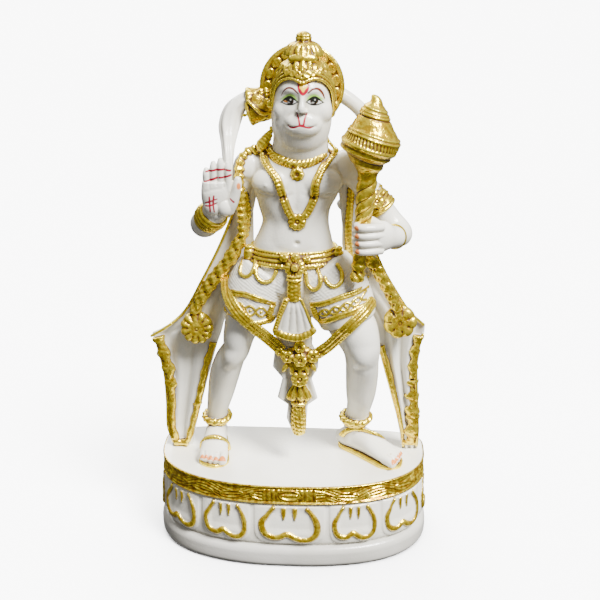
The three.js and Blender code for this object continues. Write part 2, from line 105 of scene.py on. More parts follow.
class Paint(Enum):
    """The colours of the fine brushes, as linear values."""

    RED = (0.42, 0.006, 0.03)
    CRIMSON = (0.30, 0.004, 0.022)
    BROWN = (0.115, 0.022, 0.012)
    LASH = (0.008, 0.009, 0.006)
    IRIS = (0.022, 0.010, 0.006)
    LIME = (0.33, 0.60, 0.10)
    # painted shade, laid on the white of the eye on the side away from the light
    AMBER = (0.45, 0.16, 0.025)
    GREY = (0.36, 0.35, 0.33)
    DUSK = (0.16, 0.13, 0.11)
    YELLOW = (0.92, 0.62, 0.06)
    WHITE = (0.78, 0.78, 0.76)
    ORANGE = (0.72, 0.22, 0.05)


# Lines and reliefs


def unit(vector: Sequence[float]) -> Points:
    """The vector at length one."""
    made = np.asarray(vector, float)
    return made / np.linalg.norm(made)


def ease(value: np.ndarray, low: float, high: float) -> np.ndarray:
    """A soft step from 0 at low to 1 at high."""
    t = np.clip((value - low) / (high - low), 0, 1)
    return t * t * (3 - 2 * t)


def run_along(places: Points) -> np.ndarray:
    """The distance walked from the first place to each place."""
    return np.concatenate([[0], np.cumsum(np.linalg.norm(np.diff(places, axis=0), axis=1))])


def spline(rows: Sequence[Sequence[float]], count: int, ring: bool = False) -> Points:
    """Smooth rows through the given rows, evenly spaced along the first three columns.

    Args:
        rows: Control rows: a place, then any widths that go with it.
        count: How many rows to return.
        ring: True for a closed loop, whose last row repeats the first.

    Returns:
        The rows as an array.
    """
    given = np.asarray(rows, float)
    if ring:
        given = np.vstack([given[-1], given, given[0], given[1]])
    else:
        given = np.vstack([2 * given[0] - given[1], given, 2 * given[-1] - given[-2]])
    width = min(3, given.shape[1])
    gaps = np.sqrt(np.linalg.norm(np.diff(given[:, :width], axis=0), axis=1)) + 1e-6
    knots = np.concatenate([[0], np.cumsum(gaps)])
    dense = []
    for i in range(1, len(given) - 2):
        t = np.linspace(knots[i], knots[i + 1], 20, endpoint=False)[:, None]
        k0, k1, k2, k3 = knots[i - 1:i + 3]
        p0, p1, p2, p3 = given[i - 1:i + 3]
        a1 = (k1 - t) / (k1 - k0) * p0 + (t - k0) / (k1 - k0) * p1
        a2 = (k2 - t) / (k2 - k1) * p1 + (t - k1) / (k2 - k1) * p2
        a3 = (k3 - t) / (k3 - k2) * p2 + (t - k2) / (k3 - k2) * p3
        b1 = (k2 - t) / (k2 - k0) * a1 + (t - k0) / (k2 - k0) * a2
        b2 = (k3 - t) / (k3 - k1) * a2 + (t - k1) / (k3 - k1) * a3
        dense.append((k2 - t) / (k2 - k1) * b1 + (t - k1) / (k2 - k1) * b2)
    line = np.vstack([*dense, given[-2][None]])
    run = run_along(line[:, :width])
    want = np.linspace(0, run[-1], count)
    return np.stack([np.interp(want, run, line[:, k]) for k in range(line.shape[1])], 1)


def woven(style: Weave, pitch: float, depth: float) -> Relief:
    """The relief of a cord: height against the turn round it and the run along it.

    Args:
        style: The kind of cord.
        pitch: Length of one repeat, in millimetres.
        depth: Height of the relief, in millimetres.

    Returns:
        A function of turn in radians and run in millimetres.
    """
    def rope(turn: np.ndarray, run: np.ndarray) -> np.ndarray:
        """Strands that wind round the cord."""
        return depth * (np.abs(np.cos(1.5 * turn + math.pi * run / pitch)) - 0.5)

    def beads(turn: np.ndarray, run: np.ndarray) -> np.ndarray:
        """A row of round beads."""
        return depth * (np.sqrt(np.abs(np.sin(math.pi * run / pitch))) - 0.6)

    def knots(turn: np.ndarray, run: np.ndarray) -> np.ndarray:
        """Knots at even steps, with strands between them."""
        along = np.abs((run / pitch) % 1 - 0.5) * pitch
        return depth * np.exp(-((along / 1.1) ** 2)) - 0.25 * depth * np.cos(3 * turn + run)

    def hatch(turn: np.ndarray, run: np.ndarray) -> np.ndarray:
        """Slanting cuts across the front."""
        return depth * np.sin(2 * math.pi * run / pitch + 2 * np.cos(turn)) * np.cos(turn) ** 2

    def plain(turn: np.ndarray, run: np.ndarray) -> np.ndarray:
        """No relief."""
        return np.zeros_like(turn)

    return {Weave.ROPE: rope, Weave.BEADS: beads, Weave.KNOTS: knots, Weave.HATCH: hatch,
            Weave.PLAIN: plain}[style]


def waves(*terms: tuple[float, float, float]) -> Relief:
    """A relief made of waves, each with its height, how often it goes round and how fast it runs along."""
    def relief(turn: np.ndarray, run: np.ndarray) -> np.ndarray:
        """The sum of the waves."""
        return sum(height * np.cos(count * turn + pace * run) for height, count, pace in terms)
    return relief


def hoop(middle: Sequence[float], ahead: Sequence[float], aside: Sequence[float], count: int) -> Points:
    """Places round an oval, which reaches that far ahead and aside of its middle."""
    turn = 2 * math.pi * np.arange(count)[:, None] / count
    return np.asarray(middle) + np.asarray(ahead) * np.cos(turn) + np.asarray(aside) * np.sin(turn)


# Closed forms


def roll(shape: Callable[[np.ndarray, np.ndarray], Points], across: int, along: int) -> bmesh.types.BMesh:
    """A grid rolled into a closed form by a function of its two shares, 0 to 1 each way."""
    form = bmesh.new()
    bmesh.ops.create_grid(form, x_segments=across, y_segments=along, size=0.5)
    shares = np.array([vert.co[:2] for vert in form.verts]) + 0.5
    for vert, place in zip(form.verts, shape(shares[:, 0], shares[:, 1])):
        vert.co = place
    bmesh.ops.remove_doubles(form, verts=form.verts, dist=WELD)
    bmesh.ops.recalc_face_normals(form, faces=form.faces)
    return form


def limb(stations: Sequence[Sequence[float]], sides: int = 28, facing: Points = ACROSS, blunt: float = 0.6,
         relief: Relief | None = None, ring: bool = False, spacing: float = 1.2) -> bmesh.types.BMesh:
    """An oval section carried along a smooth line, with domed ends.

    Args:
        stations: Rows of x, y, z, half width and half depth.
        sides: Faces round the section.
        facing: The direction of the first row's width.
        blunt: How far the domed ends stand out, as a share of the section.
        relief: Height added to the section, from turn and run.
        ring: True for a closed loop.
        spacing: Length of one step along, in millimetres.

    Returns:
        The closed form.
    """
    length = np.linalg.norm(np.diff(np.asarray(stations, float)[:, :3], axis=0), axis=1).sum()
    steps = max(6, int(length / spacing))
    rows = spline(stations, steps + 1, ring)
    ahead = np.gradient(rows[:, :3], axis=0)
    if ring:
        ahead[0] = ahead[-1] = rows[1, :3] - rows[-2, :3]
    ahead /= np.linalg.norm(ahead, axis=1)[:, None]
    widths = np.zeros_like(ahead)
    side = np.asarray(facing, float)
    for k, along in enumerate(ahead):
        side = unit(side - along * (side @ along))
        widths[k] = side
    run = run_along(rows[:, :3])
    dome = 0 if ring else DOME_ROWS
    rise = np.sin(np.linspace(0, math.pi / 2, dome, endpoint=False))
    out = np.cos(np.linspace(0, math.pi / 2, dome, endpoint=False)) * blunt
    index = np.concatenate([np.zeros(dome, int), np.arange(steps + 1), np.full(dome, steps)])
    scale = np.concatenate([rise, np.ones(steps + 1), rise[::-1]])
    push = np.concatenate([-out, np.zeros(steps + 1), out[::-1]])
    table = rows[index]
    centre = table[:, :3] + ahead[index] * (push * table[:, 3:5].min(1))[:, None]
    depths = np.cross(ahead, widths)

    def shape(u: np.ndarray, v: np.ndarray) -> Points:
        """The oval section at each row."""
        row = np.rint(v * (len(index) - 1)).astype(int)
        turn = 2 * math.pi * (u % 1)
        height = relief(turn, run[index][row]) if relief else np.zeros_like(turn)
        wide = (table[row, 3] + height) * scale[row] * np.cos(turn)
        deep = (table[row, 4] + height) * scale[row] * np.sin(turn)
        return centre[row] + widths[index][row] * wide[:, None] + depths[index][row] * deep[:, None]

    return roll(shape, sides, len(index) - 1)


def cord(points: Sequence[Sequence[float]], radius: float, style: Weave = Weave.PLAIN, pitch: float = 2.4,
         depth: float = 0.5, sides: int = 16, flat: float = 1.0, ring: bool = False,
         facing: Points = FORWARD) -> bmesh.types.BMesh:
    """A cord through the given points, of one radius, or of the radius given as a fourth number.

    Args:
        points: Places it passes, each with an optional radius of its own.
        radius: Radius where a place gives none.
        style: How its surface is worked.
        pitch: Length of one repeat of the work.
        depth: Height of the work.
        sides: Faces round it.
        flat: Thickness along the facing direction as a share of its width.
        ring: True for a closed loop.
        facing: The direction in which a flat cord is thin.

    Returns:
        The closed form.
    """
    sized = [(*p[:3], p[3] if len(p) > 3 else radius) for p in points]
    rows = [[x, y, z, size * flat, size] for x, y, z, size in sized]
    first = np.subtract(rows[1][:3], rows[0][:3])
    start = facing if abs(unit(first) @ facing) < 0.95 else ACROSS
    return limb(rows, sides, start, 0.8, woven(style, pitch, depth), ring, min(0.9, pitch / 5))


def ball(place: Sequence[float], radii: Sequence[float], turn: Matrix | None = None,
         sides: int = 36) -> bmesh.types.BMesh:
    """A rounded lump with its own three radii, turned if a rotation is given."""
    form = bmesh.new()
    matrix = Matrix.Translation(Vector(place)) @ (turn or Matrix.Identity(4)) @ Matrix.Diagonal((*radii, 1))
    bmesh.ops.create_uvsphere(form, u_segments=sides, v_segments=sides // 2, radius=1, matrix=matrix)
    return form


def seat_at(place: Sequence[float], normal: Sequence[float] = FORWARD,
            top: Sequence[float] = UP) -> Callable[[np.ndarray, np.ndarray, np.ndarray], Points]:
    """A flat seat: turns across, up and out into places, for a form that lies on a surface."""
    out = unit(normal)
    upward = unit(np.asarray(top, float) - out * (np.asarray(top, float) @ out))
    right = np.cross(upward, out)

    def seat(a: np.ndarray, b: np.ndarray, h: np.ndarray) -> Points:
        """The place that lies across, up and out by these amounts."""
        return np.asarray(place) + a[:, None] * right + b[:, None] * upward + h[:, None] * out
    return seat


def medallion(seat: Callable[..., Points], radius: float, relief: Relief,
              outline: Callable[[np.ndarray], np.ndarray] | None = None, thick: float = 2.0,
              across: int = 72, along: int = 40) -> bmesh.types.BMesh:
    """A disc or leaf that lies on a seat, with a relief on its front.

    Args:
        seat: Turns across, up and out into places.
        radius: Reach of the outline where its share is one.
        relief: Height against reach, 0 to 1, and turn.
        outline: Share of the radius against turn; a circle if none.
        thick: How far its back goes in.
        across: Faces round it.
        along: Faces from its heart over the rim to the middle of its back.

    Returns:
        The closed form.
    """
    def shape(u: np.ndarray, v: np.ndarray) -> Points:
        """From the heart over the rim to the middle of the back."""
        turn = 2 * math.pi * (u % 1)
        reach = 1 - np.abs(2 * v - 1)
        edge = radius * (outline(turn) if outline else 1)
        height = np.where(v < 0.5, relief(reach, turn), 0) * (1 - reach ** 12)
        height = np.where(v < 0.5, height, -thick * (1 - reach ** 6))
        return seat(reach * edge * np.cos(turn), reach * edge * np.sin(turn), height)

    return roll(shape, across, along)


def turned(profile: Sequence[Sequence[float]], foot: Sequence[float], head: Sequence[float],
           relief: Callable[[np.ndarray, np.ndarray], np.ndarray] | None = None, sides: int = 64,
           steps: int = 120) -> bmesh.types.BMesh:
    """A turned form: a smooth profile of radius and distance spun about a line, then carved.

    Args:
        profile: Pairs of radius and distance from the foot.
        foot: Start of the axis.
        head: A place on the axis that gives its direction.
        relief: Height against turn and distance from the foot.
        sides: Faces round it.
        steps: Faces along the profile.

    Returns:
        The closed form.
    """
    along = unit(np.subtract(head, foot))
    side = unit(ACROSS - along * (ACROSS @ along))
    depth = np.cross(along, side)
    line = spline([(r, t, 0) for r, t in profile], steps + 1)
    form = bmesh.new()
    verts = [form.verts.new((max(r, 0), 0, t)) for r, t, _ in line]
    edges = [form.edges.new(pair) for pair in zip(verts, verts[1:])]
    bmesh.ops.spin(form, geom=[*verts, *edges], cent=(0, 0, 0), axis=(0, 0, 1), angle=2 * math.pi,
                   steps=sides, use_merge=True)
    bmesh.ops.remove_doubles(form, verts=form.verts, dist=WELD)
    bmesh.ops.recalc_face_normals(form, faces=form.faces)
    spots = np.array([vert.co for vert in form.verts])
    reach = np.hypot(spots[:, 0], spots[:, 1])
    turn = np.arctan2(spots[:, 1], spots[:, 0])
    if relief:
        reach = reach + relief(turn, spots[:, 2]) * np.clip(reach / 2, 0, 1)
    places = (np.asarray(foot) + along * spots[:, 2:3] + side * (reach * np.cos(turn))[:, None]
              + depth * (reach * np.sin(turn))[:, None])
    for vert, place in zip(form.verts, places):
        vert.co = place
    return form


# Casting and painting


class Skin:
    """A mesh as arrays, for carving and painting."""

    def __init__(self, mesh: bpy.types.Mesh) -> None:
        """Reads the mesh's places and edges.

        Args:
            mesh: The mesh to work on.
        """
        self.mesh = mesh
        self.count = len(mesh.vertices)
        places = np.empty(self.count * 3)
        mesh.vertices.foreach_get("co", places)
        self.places = places.reshape(-1, 3)
        edges = np.empty(len(mesh.edges) * 2, int)
        mesh.edges.foreach_get("vertices", edges)
        self.edges = edges.reshape(-1, 2)
        ends = np.concatenate([self.edges[:, 0], self.edges[:, 1]])
        self.links = np.maximum(np.bincount(ends, minlength=self.count), 1)

    def normals(self) -> Points:
        """The direction in which each place faces."""
        made = np.empty(self.count * 3)
        self.mesh.vertex_normals.foreach_get("vector", made)
        return made.reshape(-1, 3)

    def blur(self, values: np.ndarray, rounds: int = 1) -> np.ndarray:
        """The values averaged with their neighbours, as many times as asked."""
        a, b = self.edges.T
        for _ in range(rounds):
            total = (np.bincount(a, values[b], self.count) + np.bincount(b, values[a], self.count))
            values = 0.5 * values + 0.5 * total / self.links
        return values

    def push(self, amount: np.ndarray) -> None:
        """Moves each place along its own normal."""
        self.move(self.places + self.normals() * amount[:, None])

    def move(self, places: Points) -> None:
        """Puts every place where given."""
        self.places = places
        self.mesh.vertices.foreach_set("co", places.ravel())
        self.mesh.update()

    def dab(self, place: Sequence[float], reach: float | Sequence[float], height: float) -> None:
        """Raises or sinks the surface round a place, by a soft round brush."""
        away = (self.places - np.asarray(place)) / np.asarray(reach)
        self.push(height * np.exp(-(away ** 2).sum(1)))

    def groove(self, points: Sequence[Sequence[float]], width: float, height: float) -> None:
        """Raises or sinks the surface along a line."""
        line = spline(points, 48)[:, :3]
        self.push(height * np.exp(-((distance_to(self.places, line) / width) ** 2)))

    def averaged(self, rounds: int) -> Points:
        """Where the places lie once each is averaged with its neighbours."""
        return np.stack([self.blur(self.places[:, k], rounds) for k in range(3)], 1)

    def hollows(self, reach: float) -> np.ndarray:
        """How far each place lies below the surface round it, in millimetres.

        Args:
            reach: How far round each place the surface is averaged, in millimetres.

        Returns:
            The depths: positive in recesses, negative on edges.
        """
        a, b = self.edges.T
        size = float(np.linalg.norm(self.places[a] - self.places[b], axis=1).mean())
        rounds = max(2, int((2 * reach / size) ** 2))
        return self.blur(((self.averaged(rounds) - self.places) * self.normals()).sum(1))

    def soften(self, share: np.ndarray, rounds: int) -> None:
        """Smooths the surface where the share is above 0, as a wet sponge does."""
        self.move(self.places + (self.averaged(rounds) - self.places) * share[:, None])

    def read(self, name: str) -> np.ndarray:
        """The values kept under that name."""
        values = np.empty(self.count, np.float32)
        self.mesh.attributes[name].data.foreach_get("value", values)
        return values.astype(float)

    def store(self, name: str, values: np.ndarray) -> None:
        """Keeps a value for each place, for the materials to read."""
        layer = self.mesh.attributes.get(name) or self.mesh.attributes.new(name, "FLOAT", "POINT")
        layer.data.foreach_set("value", values.astype(np.float32))


def set_down(name: str, data: bpy.types.ID) -> bpy.types.Object:
    """A new object of that name in the scene."""
    obj = bpy.data.objects.new(name, data)
    bpy.context.scene.collection.objects.link(obj)
    return obj


def settle(obj: bpy.types.Object) -> None:
    """Works an object's modifiers into a new mesh, which takes the place of the old one."""
    old = obj.data
    view = bpy.context.evaluated_depsgraph_get()
    made = bpy.data.meshes.new_from_object(obj.evaluated_get(view))
    obj.modifiers.clear()
    obj.vertex_groups.clear()
    obj.data = made
    bpy.data.meshes.remove(old)


def distance_to(places: Points, line: Points) -> np.ndarray:
    """The distance from each place to a line of points, in as many dimensions as they have."""
    best = np.full(len(places), 1e9)
    for start, end in zip(line[:-1], line[1:]):
        way = end - start
        share = np.clip(((places - start) @ way) / max(way @ way, TINY), 0, 1)
        best = np.minimum(best, np.linalg.norm(places - start - share[:, None] * way, axis=1))
    return best


class Brushwork:
    """Fine painted lines and spots on the front of a piece, laid over one another."""

    def __init__(self, skin: Skin, front: float = 0.0) -> None:
        """Starts with nothing painted.

        Args:
            skin: The skin to paint.
            front: How much a place has to face the viewer to take paint.
        """
        self.skin = skin
        self.spots = skin.places[:, [0, 2]]
        self.ready = ease(-skin.normals()[:, 1], front, front + 0.15)
        self.paint = np.zeros((skin.count, 4))

    def lay(self, colour: Paint, cover: np.ndarray) -> None:
        """Lays one colour over what is there, by its cover from 0 to 1."""
        cover = (cover * self.ready)[:, None]
        self.paint[:, :3] = np.where(self.paint[:, 3:] > 0, self.paint[:, :3], colour.value)
        self.paint[:, :3] = self.paint[:, :3] * (1 - cover) + np.asarray(colour.value) * cover
        self.paint[:, 3:] = np.maximum(self.paint[:, 3:], cover)

    def stroke(self, colour: Paint, points: Sequence[Sequence[float]], soft: float = 0.18) -> None:
        """A brush line through points of x, z and half width, swelling and thinning as they say."""
        line = spline([(p[0], p[1], 0, p[2]) for p in points], 40)
        cover = np.zeros(self.skin.count)
        for start, end in zip(line[:-1], line[1:]):
            way = (end - start)[:2]
            share = np.clip(((self.spots - start[:2]) @ way) / max(way @ way, TINY), 0, 1)
            gap = np.linalg.norm(self.spots - start[:2] - share[:, None] * way, axis=1)
            half = start[3] + share * (end[3] - start[3])
            cover = np.maximum(cover, ease(half - gap, -soft, soft))
        self.lay(colour, cover)

    def spot(self, colour: Paint, place: Sequence[float], radii: Sequence[float],
             soft: float = 0.18) -> None:
        """A filled oval."""
        gap = np.linalg.norm((self.spots - np.asarray(place)) / np.asarray(radii), axis=1)
        self.lay(colour, ease((1 - gap) * min(radii), -soft, soft))

    def patch(self, colour: Paint, points: Sequence[Sequence[float]], soft: float = 0.18) -> None:
        """A filled shape with smooth sides through the points."""
        line = spline([(*p, 0) for p in points], 60, ring=True)[:, :2]
        inside = np.zeros(self.skin.count, bool)
        x, z = self.spots.T
        for (x0, z0), (x1, z1) in zip(line[:-1], line[1:]):
            crossing = ((z0 > z) != (z1 > z)) & (x < (x1 - x0) * (z - z0) / (z1 - z0 + TINY) + x0)
            inside ^= crossing
        gap = distance_to(self.spots, line)
        self.lay(colour, ease(np.where(inside, gap, -gap), -soft, soft))

    def finish(self) -> None:
        """Keeps the painting on the mesh."""
        layer = self.skin.mesh.attributes.new("brushwork", "FLOAT_COLOR", "POINT")
        layer.data.foreach_set("color", self.paint.astype(np.float32).ravel())


class Clay:
    """The forms of one piece, pressed together before they are cast."""

    def __init__(self, name: str, voxel: float) -> None:
        """Starts an empty piece.

        Args:
            name: Name of the finished piece.
            voxel: Fineness of the cast skin, in millimetres.
        """
        self.name = name
        self.voxel = voxel * 1.0
        self.forms = {pot: bmesh.new() for pot in Pot}

    def press(self, *forms: bmesh.types.BMesh, pot: Pot = Pot.WHITE) -> None:
        """Adds closed forms, to be finished in the given paint."""
        for form in forms:
            mesh = bpy.data.meshes.new("form")
            form.to_mesh(mesh)
            form.free()
            self.forms[pot].from_mesh(mesh)
            bpy.data.meshes.remove(mesh)

    def gild(self, *forms: bmesh.types.BMesh) -> None:
        """Adds closed forms that are painted gold."""
        self.press(*forms, pot=Pot.GOLD)

    def hang(self, points: Sequence[Sequence[float]], lift: float = 0.5, pot: Pot = Pot.WHITE,
             way: Points = BACKWARD) -> list[tuple[float, float, float]]:
        """Lays points on the forms pressed so far, as seen along a direction.

        Args:
            points: Places, whose distance along the direction doesn't matter.
            lift: How far they stand off the surface.
            pot: The forms to lie on.
            way: The direction in which they are laid on.

        Returns:
            The places on the surface; a point that meets nothing stays as given.
        """
        tree = BVHTree.FromBMesh(self.forms[pot])
        laid = []
        for point in points:
            start = np.asarray(point[:3], float)
            start = start - way * (start @ way + CLEAR_OF_FIGURE)
            hit = tree.ray_cast(Vector(start), Vector(way))[0]
            place = np.asarray(point[:3], float) if hit is None else np.array(hit) - way * lift
            laid.append((*place, *point[3:]))
        return laid

    def at(self, x: float, z: float, lift: float, pot: Pot = Pot.WHITE) -> Points:
        """The place on the front of the forms at an x and a height, that far off the surface."""
        return np.array(self.hang([(x, 0, z)], lift, pot)[0])

    def trim(self, points: Sequence[Sequence[float]], lift: float, radius: float,
             style: Weave = Weave.PLAIN, pitch: float = 2.4, depth: float = 0.5, sides: int = 16,
             flat: float = 1.0) -> None:
        """Adds a gold cord that lies on the front of the forms.

        Args:
            points: Its course as x, z and an optional radius.
            lift: How far it stands off the surface.
            radius: Radius where a point gives none.
            style: How its surface is worked.
            pitch: Length of one repeat of the work.
            depth: Height of the work.
            sides: Faces round it.
            flat: Its thickness as a share of its width.
        """
        course = self.hang([(p[0], 0, *p[1:]) for p in points], lift)
        self.gild(cord(course, radius, style, pitch, depth, sides, flat))

    def cast(self, smooth: int = 2) -> "Piece":
        """Casts the forms into one skin and notes where it is gold.

        Args:
            smooth: Rounds of smoothing after casting.

        Returns:
            The cast piece, still in millimetres.
        """
        whole = bpy.data.meshes.new(self.name)
        both = bmesh.new()
        for form in self.forms.values():
            mesh = bpy.data.meshes.new("form")
            form.to_mesh(mesh)
            both.from_mesh(mesh)
            bpy.data.meshes.remove(mesh)
        both.to_mesh(whole)
        both.free()
        obj = set_down(self.name, whole)
        remesh = obj.modifiers.new("cast", "REMESH")
        remesh.mode = "VOXEL"
        remesh.voxel_size = self.voxel
        if smooth:
            polish = obj.modifiers.new("polish", "SMOOTH")
            polish.iterations = smooth
        settle(obj)
        piece = Piece(obj, Skin(obj.data))
        piece.skin.store("gilt", self.gilt(piece.skin))
        return piece

    def gilt(self, skin: Skin) -> np.ndarray:
        """Where the cast skin is gold, from 0 to 1: nearer to a gold form than to a white one."""
        full = {pot: len(form.verts) > 0 for pot, form in self.forms.items()}
        if not (full[Pot.WHITE] and full[Pot.GOLD]):
            return np.full(skin.count, float(full[Pot.GOLD]))
        trees = {pot: BVHTree.FromBMesh(form) for pot, form in self.forms.items()}
        gaps = {pot: np.full(skin.count, GILDING_REACH) for pot in Pot}
        for pot, tree in trees.items():
            for index, place in enumerate(skin.places):
                found = tree.find_nearest(place, GILDING_REACH)
                if found[3] is not None:
                    gaps[pot][index] = found[3]
        return ease(gaps[Pot.WHITE] - gaps[Pot.GOLD], -0.05, 0.2)


KEPT_SHARES = {"head": 0.6, "crown": 0.5, "halo": 0.4, "tail": 0.15, "body": 0.3, "raised_hand": 0.5,
               "mace_fist": 0.5, "mace": 0.42, "hips": 0.35, "straight_leg": 0.24, "stepping_leg": 0.24,
               "sash": 0.45, "left_cloak": 0.28, "right_cloak": 0.3, "plinth_slab": 0.3,
               "plinth_petals": 0.3, "plinth_band": 0.36}


@dataclass
class Piece:
    """A cast piece that is being carved and painted."""

    obj: bpy.types.Object
    skin: Skin

    def thin(self, share: float) -> None:
        """Merges faces where the surface is plain, but not along the edges of the paint.

        Args:
            share: How many of the faces to keep.
        """
        mesh = self.skin.mesh
        paint = np.empty(self.skin.count * 4, np.float32)
        mesh.attributes["brushwork"].data.foreach_get("color", paint)
        layers = np.column_stack([paint.reshape(-1, 4), self.skin.read("gilt")])
        ends = np.empty(len(mesh.edges) * 2, np.int32)
        mesh.edges.foreach_get("vertices", ends)
        ends = ends.reshape(-1, 2)
        change = np.abs(layers[ends[:, 0]] - layers[ends[:, 1]]).max(1)
        edge = np.unique(ends[change > PAINT_EDGE])
        held = self.obj.vertex_groups.new(name="paint edges")
        held.add(edge.tolist(), 1.0, "REPLACE")
        merge = self.obj.modifiers.new("thin", "DECIMATE")
        merge.ratio = share
        merge.vertex_group = held.name
        merge.invert_vertex_group = True
        settle(self.obj)

    def finish(self, material: bpy.types.Material, slot: str, recess: float = 0.8) -> bpy.types.Object:
        """Turns millimetres into metres, dresses the piece and fixes it to the frame.

        Args:
            material: Its finish.
            slot: The record's slot that it takes its finish from; not used.
            recess: How far round each place the surface is averaged to find its recesses.

        Returns:
            The finished object.
        """
        # Depth of each place below the surface round it, fine and broad; the casting material turns it into
        # painted shade in the recesses and painted highlights on the edges.
        fine = self.skin.hollows(recess)
        self.skin.store("hollow", fine + 0.3 * np.clip(self.skin.hollows(recess * 2.2) - 0.05, 0, 0.6))
        if "brushwork" not in self.obj.data.attributes:
            Brushwork(self.skin).finish()
        self.thin(KEPT_SHARES[self.obj.name])
        mesh = self.obj.data
        mesh.transform(Matrix.Translation((0, 0, PLINTH_HEIGHT * MM)) @ Matrix.Scale(MM, 4))
        mesh.polygons.foreach_set("use_smooth", np.ones(len(mesh.polygons), bool))
        mesh.materials.clear()
        mesh.materials.append(material)
        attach(self.obj, "root")
        log.info("%s: %d places, %d faces", self.obj.name, len(mesh.vertices), len(mesh.polygons))
        return self.obj


# Finishes


class Graph:
    """Small helper that adds nodes to a material or group and links them."""

    def __init__(self, tree: bpy.types.NodeTree) -> None:
        """Works on a node tree.

        Args:
            tree: The tree to add to.
        """
        self.tree = tree

    def add(self, kind: str, **settings: object) -> bpy.types.Node:
        """A new node of that kind with its settings."""
        node = self.tree.nodes.new(kind)
        for name, value in settings.items():
            setattr(node, name, value)
        return node

    def feed(self, socket: bpy.types.NodeSocket, value: object) -> None:
        """Links a socket or sets its value."""
        if isinstance(value, bpy.types.NodeSocket):
            self.tree.links.new(value, socket)
        elif isinstance(value, tuple) and len(value) == 3 and socket.type == "RGBA":
            socket.default_value = (*value, 1)
        else:
            socket.default_value = value

    def math(self, operation: str, a: object, b: object = 0.0, c: object = 0.0) -> bpy.types.NodeSocket:
        """A sum, product or other simple operation."""
        node = self.add("ShaderNodeMath", operation=operation)
        for socket, value in zip(node.inputs, (a, b, c)):
            self.feed(socket, value)
        return node.outputs[0]

    def span(self, value: object, low: float, high: float, to_low: float = 0.0,
             to_high: float = 1.0) -> bpy.types.NodeSocket:
        """A value carried smoothly from one range to another."""
        node = self.add("ShaderNodeMapRange", interpolation_type="SMOOTHSTEP")
        for socket, part in zip(node.inputs, (value, low, high, to_low, to_high)):
            self.feed(socket, part)
        return node.outputs["Result"]

    def noise(self, place: object, scale: float, detail: float = 3.0,
              roughness: float = 0.5) -> bpy.types.NodeSocket:
        """Cloudy noise from 0 to 1."""
        node = self.add("ShaderNodeTexNoise")
        self.feed(node.inputs["Vector"], place)
        for name, value in (("Scale", scale), ("Detail", detail), ("Roughness", roughness)):
            node.inputs[name].default_value = value
        return node.outputs["Fac"]

    def mix(self, share: object, first: object, second: object) -> bpy.types.NodeSocket:
        """One colour over another, by a share."""
        node = self.add("ShaderNodeMix", data_type="RGBA")
        self.feed(node.inputs["Factor"], share)
        self.feed(node.inputs[6], first)
        self.feed(node.inputs[7], second)
        return node.outputs[2]

    def attribute(self, name: str) -> bpy.types.Node:
        """The values kept on the mesh under that name."""
        return self.add("ShaderNodeAttribute", attribute_name=name, attribute_type="GEOMETRY")


@dataclass(frozen=True)
class Enamel:
    """White gloss enamel, a little warm, a little uneven from the brush."""

    base: Colour = (0.86, 0.835, 0.74)
    shade: Colour = (0.78, 0.745, 0.63)
    # Painted shade: the darker colour the white takes in the recesses.
    recess: Colour = (0.42, 0.37, 0.25)
    roughness: float = 0.2
    ripple: float = 0.12


@dataclass(frozen=True)
class GoldPaint:
    """Bright gold paint, with painted highlights on the edges and painted shade, dark brown, in the
    recesses.
    """

    # Also the colour of the painted highlights on the edges.
    bright: Colour = (1.0, 0.80, 0.06)
    body: Colour = (0.60, 0.368, 0.007)
    # Painted shade: the dark brown the gold takes in the recesses.
    recess: Colour = (0.075, 0.03, 0.001)
    roughness: float = 0.24
    metallic: float = 0.82
    grain: float = 0.25
    hammer: float = 1.1


def cast_surface() -> bpy.types.NodeTree:
    """A shader group shared by both paints: uneven tone, a recess mask for painted shade, an edge mask for
    painted highlights, and hand-cast relief.
    """
    group = bpy.data.node_groups.new("cast surface", "ShaderNodeTree")
    for name in ("Ripple", "Grain", "Hammer"):
        group.interface.new_socket(name, in_out="INPUT", socket_type="NodeSocketFloat")
    for name in ("Tone", "Recess", "Edge", "Strike", "Height"):
        group.interface.new_socket(name, in_out="OUTPUT", socket_type="NodeSocketFloat")
    graph = Graph(group)
    given = graph.add("NodeGroupInput")
    out = graph.add("NodeGroupOutput")
    place = graph.add("ShaderNodeTexCoord").outputs["Object"]
    hollow = graph.attribute("hollow").outputs["Fac"]
    graph.feed(out.inputs["Tone"], graph.noise(place, 28, 4))
    # Sunk depth with a little noise: the Recess mask made from it is painted shade in the recesses, and the
    # Edge mask is painted highlight on the ridges.
    painted_light_depth = graph.math("MULTIPLY_ADD", graph.noise(place, 260, 3), 0.06, hollow)
    graph.feed(out.inputs["Recess"], graph.span(painted_light_depth, 0.05, 0.19))
    graph.feed(out.inputs["Edge"], graph.span(painted_light_depth, 0.0, -0.16))
    broad = graph.math("MULTIPLY", graph.noise(place, 70, 2), given.outputs["Ripple"])
    fine = graph.math("MULTIPLY", graph.noise(place, 620, 4, 0.6), given.outputs["Grain"])
    strike = graph.noise(place, 330, 2)
    graph.feed(out.inputs["Strike"], graph.span(strike, 0.36, 0.66))
    gilt = graph.attribute("gilt").outputs["Fac"]
    struck = graph.math("MULTIPLY", graph.math("MULTIPLY", strike, gilt), given.outputs["Hammer"])
    graph.feed(out.inputs["Height"], graph.math("ADD", struck, graph.math("ADD", broad, fine)))
    return group


